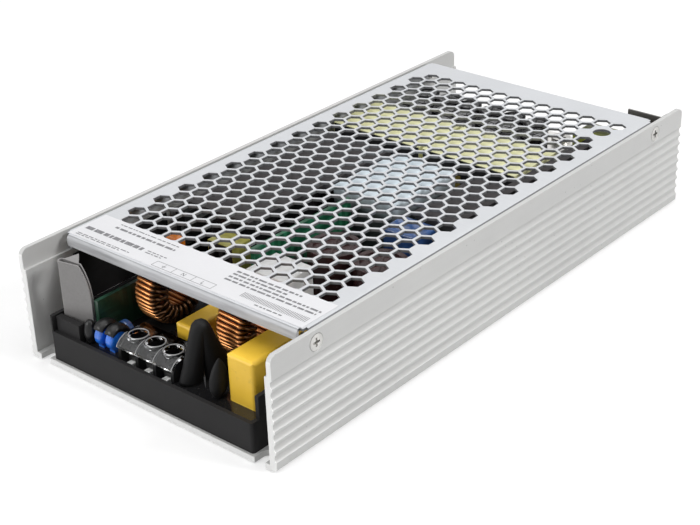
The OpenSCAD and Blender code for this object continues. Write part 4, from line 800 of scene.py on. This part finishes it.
def makeWinding(name, node, coreNode, finish, s):  # two half windings about the middle of the ring
    low, high = (np.array(c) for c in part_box(node))
    coreLow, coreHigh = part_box(coreNode)
    outer = (high[2] - low[2]) / 2 - s["wire"] / 2
    middle = (low + high) / 2
    halves = [windingHalf(s, coreHigh.x - coreLow.x, outer, start) for start in (math.pi / 2, math.pi * 3 / 2)]
    piece = putTubes(name, [(points + middle, uv) for points, uv in halves], s["around"], finish)
    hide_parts(node)


makeWinding("leftCopperWire", "left_choke_winding", "left_choke_core", "leftCopper", windingSet)
makeWinding("rightCopperWire", "right_choke_winding", "right_choke_core", "rightCopper", windingSet)
print("copper windings wound")

bentSet = {
    "round": 0.16, "steps": 64, "around": 28, "splay": 2 * mm, "twist": (1.0, -0.3, 0.0),
    "reach": (4 * mm, 5.2 * mm), "thick": (4.2 * mm, 5.4 * mm),  # front foot, rear foot
    "thin": 2.8 * mm, "depth": 2.7 * mm, "swell": 0.25 * mm,
}


def makeBentSleeve(s):
    # inverted V with a rounded top: along the feet's line t runs from -1 to 1 and the height falls by
    # (sqrt(t^2 + a^2) - a) / (sqrt(1 + a^2) - a) of the whole; the sleeve's ellipse grows towards the feet with t^2,
    # and the rear foot is set further out and wider than the front one
    low, high = (np.array(c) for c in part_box("bent_sleeve"))
    t = np.linspace(-1, 1, s["steps"])
    a = s["round"]
    fall = (np.sqrt(t * t + a * a) - a) / (math.sqrt(1 + a * a) - a)
    middle = (low + high) / 2
    reach = np.where(t < 0, *s["reach"])
    thick = np.where(t < 0, *s["thick"])
    top = high[2] - s["thin"]
    path = np.stack([middle[0] + t * s["splay"], middle[1] + t * reach, top - fall * (top - low[2])], -1)
    verts, uv = tube(path, np.array(s["twist"]), s["depth"] + s["swell"] * t * t,
                     s["thin"] + (thick - s["thin"]) * t * t, s["around"])
    verts[:, 2] = np.maximum(verts[:, 2], low[2])
    piece = putTubes("bentSleeve", [(verts, uv)], s["around"], "blackSleeve")
    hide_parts("bent_sleeve")


eggSet = {
    "leafSleeve": {"node": "sleeved_thermistor", "finish": "blackSleeve", "rows": 40, "around": 40,
                   "belly": 0.42, "full": 0.7, "lean": 0.12},
    "fuseSleeve": {"node": "fuse_sleeve", "finish": "glossSleeve", "rows": 30, "around": 32,
                   "belly": 0.5, "full": 0.34, "lean": 0.04},
}
eggEnds = (0.06, 0.04)  # how far short of the foot and the tip the rows stop, in radians


def makeEgg(name, s):
    # flattened egg: height h runs from foot to tip, its girth is sin(pi * h^p)^full with p set so that the belly is
    # widest at the given height; across is cos(v), along is sin(v), leaning back with height
    low, high = (np.array(c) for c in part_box(s["node"]))
    h = (1 - np.cos(np.linspace(eggEnds[0], math.pi - eggEnds[1], s["rows"]))) / 2
    p = math.log(0.5) / math.log(s["belly"])
    girth = np.sin(math.pi * h ** p) ** s["full"]
    v = np.linspace(0, 2 * math.pi, s["around"], endpoint=False)
    middle, size = (low + high) / 2, (high - low) / 2
    x = middle[0] + size[0] * girth[:, None] * np.cos(v)
    y = middle[1] + size[1] * (girth[:, None] * np.sin(v) * (1 - s["lean"]) + s["lean"] * (2 * h[:, None] - 1))
    z = np.broadcast_to((low[2] + (high[2] - low[2]) * h)[:, None], x.shape)
    uv = np.stack(np.broadcast_arrays(h[:, None], v[None, :] / (2 * math.pi)), -1).reshape(-1, 2)
    faces = [f[:, ::-1] for f in tubeFaces(s["rows"], s["around"])]
    piece = putMesh(name, np.stack([x, y, z], -1).reshape(-1, 3), faces, s["finish"], uv)
    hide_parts(s["node"])


loopSet = {
    "discs": (-26.03 * mm, -20.62 * mm), "from": -70, "to": 146, "length": 0.96, "steps": 40, "around": 20,
    "wide": 2.3 * mm, "deep": 1.6 * mm, "endWidth": 0.9,
}


def makeLoops(s):
    # sleeve bent over the edge of a disc: its ellipse is carried along the arc y = cos(a), z = sin(a) of the disc's
    # radius, and narrows to the ends by (1 - e^6)^0.5, where e runs from -length to length along the arc
    low, high = (np.array(c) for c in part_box("varistors"))
    radius = (high[2] - low[2]) / 2
    e = np.linspace(-s["length"], s["length"], s["steps"])
    a = np.radians((s["to"] + s["from"]) / 2 + e * (s["to"] - s["from"]) / 2)
    slim = np.sqrt(1 - e ** 6)
    wide = s["wide"] * (s["endWidth"] + (1 - s["endWidth"]) * slim)
    y = (low[1] + high[1]) / 2 + radius * np.cos(a)
    z = low[2] + radius + radius * np.sin(a)
    loops = []
    for x in s["discs"]:
        points, uv = tube(np.stack([np.full_like(a, x), y, z], -1), acrossX, wide, s["deep"] * slim, s["around"])
        points[:, 2] = np.maximum(points[:, 2], low[2])
        loops.append((points, uv))
    piece = putTubes("varistorLoops", loops, s["around"], "glossSleeve")
    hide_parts("varistor_sleeves")


makeBentSleeve(bentSet)
for name, egg in eggSet.items():
    makeEgg(name, egg)
makeLoops(loopSet)
print("sleeves shaped")

rimSet = {
    "holeX": (-11.25 * mm, -3 * mm, 5.25 * mm), "holeY": -110.75 * mm, "radius": 3.36 * mm, "bead": 0.2 * mm,
    "seams": (-15.8 * mm, -7.13 * mm, 1.13 * mm, 9.8 * mm), "seamWide": 0.12 * mm, "seamDeep": 0.1 * mm,
    "centre": (-111.4 * mm, 14 * mm), "bend": 6.02 * mm, "rise": (26, 90),  # the bend's centre in y and z, degrees
    "steps": 60, "around": 10,
}


def makeRims(s):
    # rounded bead carried round each screwdriver hole on a circle, and up the bend of the clear cover at the cell walls
    # on an arc from the lower edge to the flat top; the pale beads are painted highlights for the glints on these edges
    low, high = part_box("terminal_cover")
    turn = np.linspace(0, 2 * math.pi, s["steps"] + 1)
    side = np.stack([np.cos(turn), np.sin(turn), np.zeros_like(turn)], -1)
    beads = [tube(np.array([x, s["holeY"], high.z]) + s["radius"] * side, side, s["bead"], s["bead"], s["around"])
             for x in s["holeX"]]
    rise = np.radians(np.linspace(*s["rise"], s["steps"] + 1))
    y, z = s["centre"][0] - s["bend"] * np.cos(rise), s["centre"][1] + s["bend"] * np.sin(rise)
    beads += [tube(np.stack([np.full_like(rise, x), y, z], -1), acrossX, s["seamWide"], s["seamDeep"], s["around"])
              for x in s["seams"]]
    # painted highlight: pale beads where the clear plastic's edges glint
    piece = putTubes("clearRimGlints", beads, s["around"], "paintedRimGlint")


makeRims(rimSet)
print("rims of the clear cover made")

# label print: rows of plain bars, a block of even upright lines, and a box with the earth, N and L marks;
# all in millimetres from the label's front left corner, the marks from the middle of their cell
printSet = {
    "lift": 0.03 * mm, "line": 0.2, "letterLine": 0.26,
    "rows": [  # left end, right end, foot, height of the bars
        (10.2, 39, 14.6, 0.5), (10.2, 39.2, 11.8, 1.1), (2.4, 28, 1.9, 0.45), (2.4, 24, 1.0, 0.45),
        (2, 30, 5.6, 1.9), (32, 41, 6.6, 0.5), (32, 39.5, 5.4, 0.5),
        (66, 94, 14.0, 0.9), (66, 90, 12.1, 0.9), (66, 105.4, 10.1, 0.9), (66, 105, 8.1, 0.9), (85.6, 97, 1.4, 0.6),
    ],
    "upright": (78, 105, 3.0, 2.9, 38),  # left end, right end, foot, height, how many lines
    "slim": 0.2,  # half a line's width as a share of their spacing
    "box": (40.2, 9.0, 0.7, 3.1),  # left end, width of a cell, foot, height
    "earth": [(0, 1.1, 0, 0), (-0.9, 0, 0.9, 0), (-0.55, -0.4, 0.55, -0.4), (-0.22, -0.8, 0.22, -0.8)],
    "letterN": [(-0.6, -0.8, -0.6, 0.8), (-0.6, 0.8, 0.6, -0.8), (0.6, -0.8, 0.6, 0.8)],
    "letterL": [(-0.5, 0.8, -0.5, -0.8), (-0.5, -0.8, 0.5, -0.8)],
}
barSet = {"seed": 11, "draws": 60, "width": (0.9, 3.6), "gap": (0.4, 0.7), "growth": 0.4, "least": 0.5}


def bars(x0, x1, y, height, seed, s):  # a row of plain bars: widths and gaps drawn from a seeded generator
    rng = np.random.default_rng(seed)
    width = rng.uniform(*s["width"], s["draws"]) * height ** s["growth"]
    gap = rng.uniform(*s["gap"], s["draws"])
    start = x0 + np.cumsum(width + gap) - width - gap
    end = np.minimum(start + width, x1)
    keep = end - start > s["least"]
    return np.stack([start[keep], np.full(keep.sum(), y), end[keep], np.full(keep.sum(), y + height)], -1)


def strokes(pairs, width):  # thin quads along line pieces (xa, ya, xb, yb): half the width to each side
    p = np.asarray(pairs, float)
    run = p[:, 2:] - p[:, :2]
    square = np.stack([-run[:, 1], run[:, 0]], -1) / np.linalg.norm(run, axis=1, keepdims=True) * width / 2
    return np.stack([p[:, :2] - square, p[:, 2:] - square, p[:, 2:] + square, p[:, :2] + square], 1)


def makePrint(s):  # every mark is a flat quad a little above the label
    low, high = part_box("rating_label")
    rows = [bars(*row, barSet["seed"] + k, barSet) for k, row in enumerate(s["rows"])]
    x0, x1, y, height, count = s["upright"]
    at = np.linspace(x0, x1, count)
    half = (x1 - x0) / count * s["slim"]
    rows.append(np.stack([at - half, np.full(count, y), at + half, np.full(count, y + height)], -1))
    flat = np.concatenate(rows)
    quads = np.stack([flat[:, [0, 1]], flat[:, [2, 1]], flat[:, [2, 3]], flat[:, [0, 3]]], 1)
    left, cell, foot, tall = s["box"]
    box = [(left, y, left + 3 * cell, y) for y in (foot, foot + tall)]
    box += [(left + k * cell, foot, left + k * cell, foot + tall) for k in range(4)]
    earth, letterN, letterL = (np.add(s[mark], (left + (k + 0.5) * cell, foot + tall / 2) * 2)
                               for k, mark in enumerate(("earth", "letterN", "letterL")))
    quads = np.concatenate([quads, strokes(np.concatenate([box, earth]), s["line"]),
                            strokes(np.concatenate([letterN, letterL]), s["letterLine"])])
    flatXY = quads.reshape(-1, 2) * mm + np.array([low.x, low.y])
    verts = np.concatenate([flatXY, np.full((len(flatXY), 1), high.z + s["lift"])], 1)
    piece = putMesh("labelPrint", verts, [np.arange(len(verts)).reshape(-1, 4)], "labelInk", smooth=False)


makePrint(printSet)
print("label printed with plain bars and terminal marks")
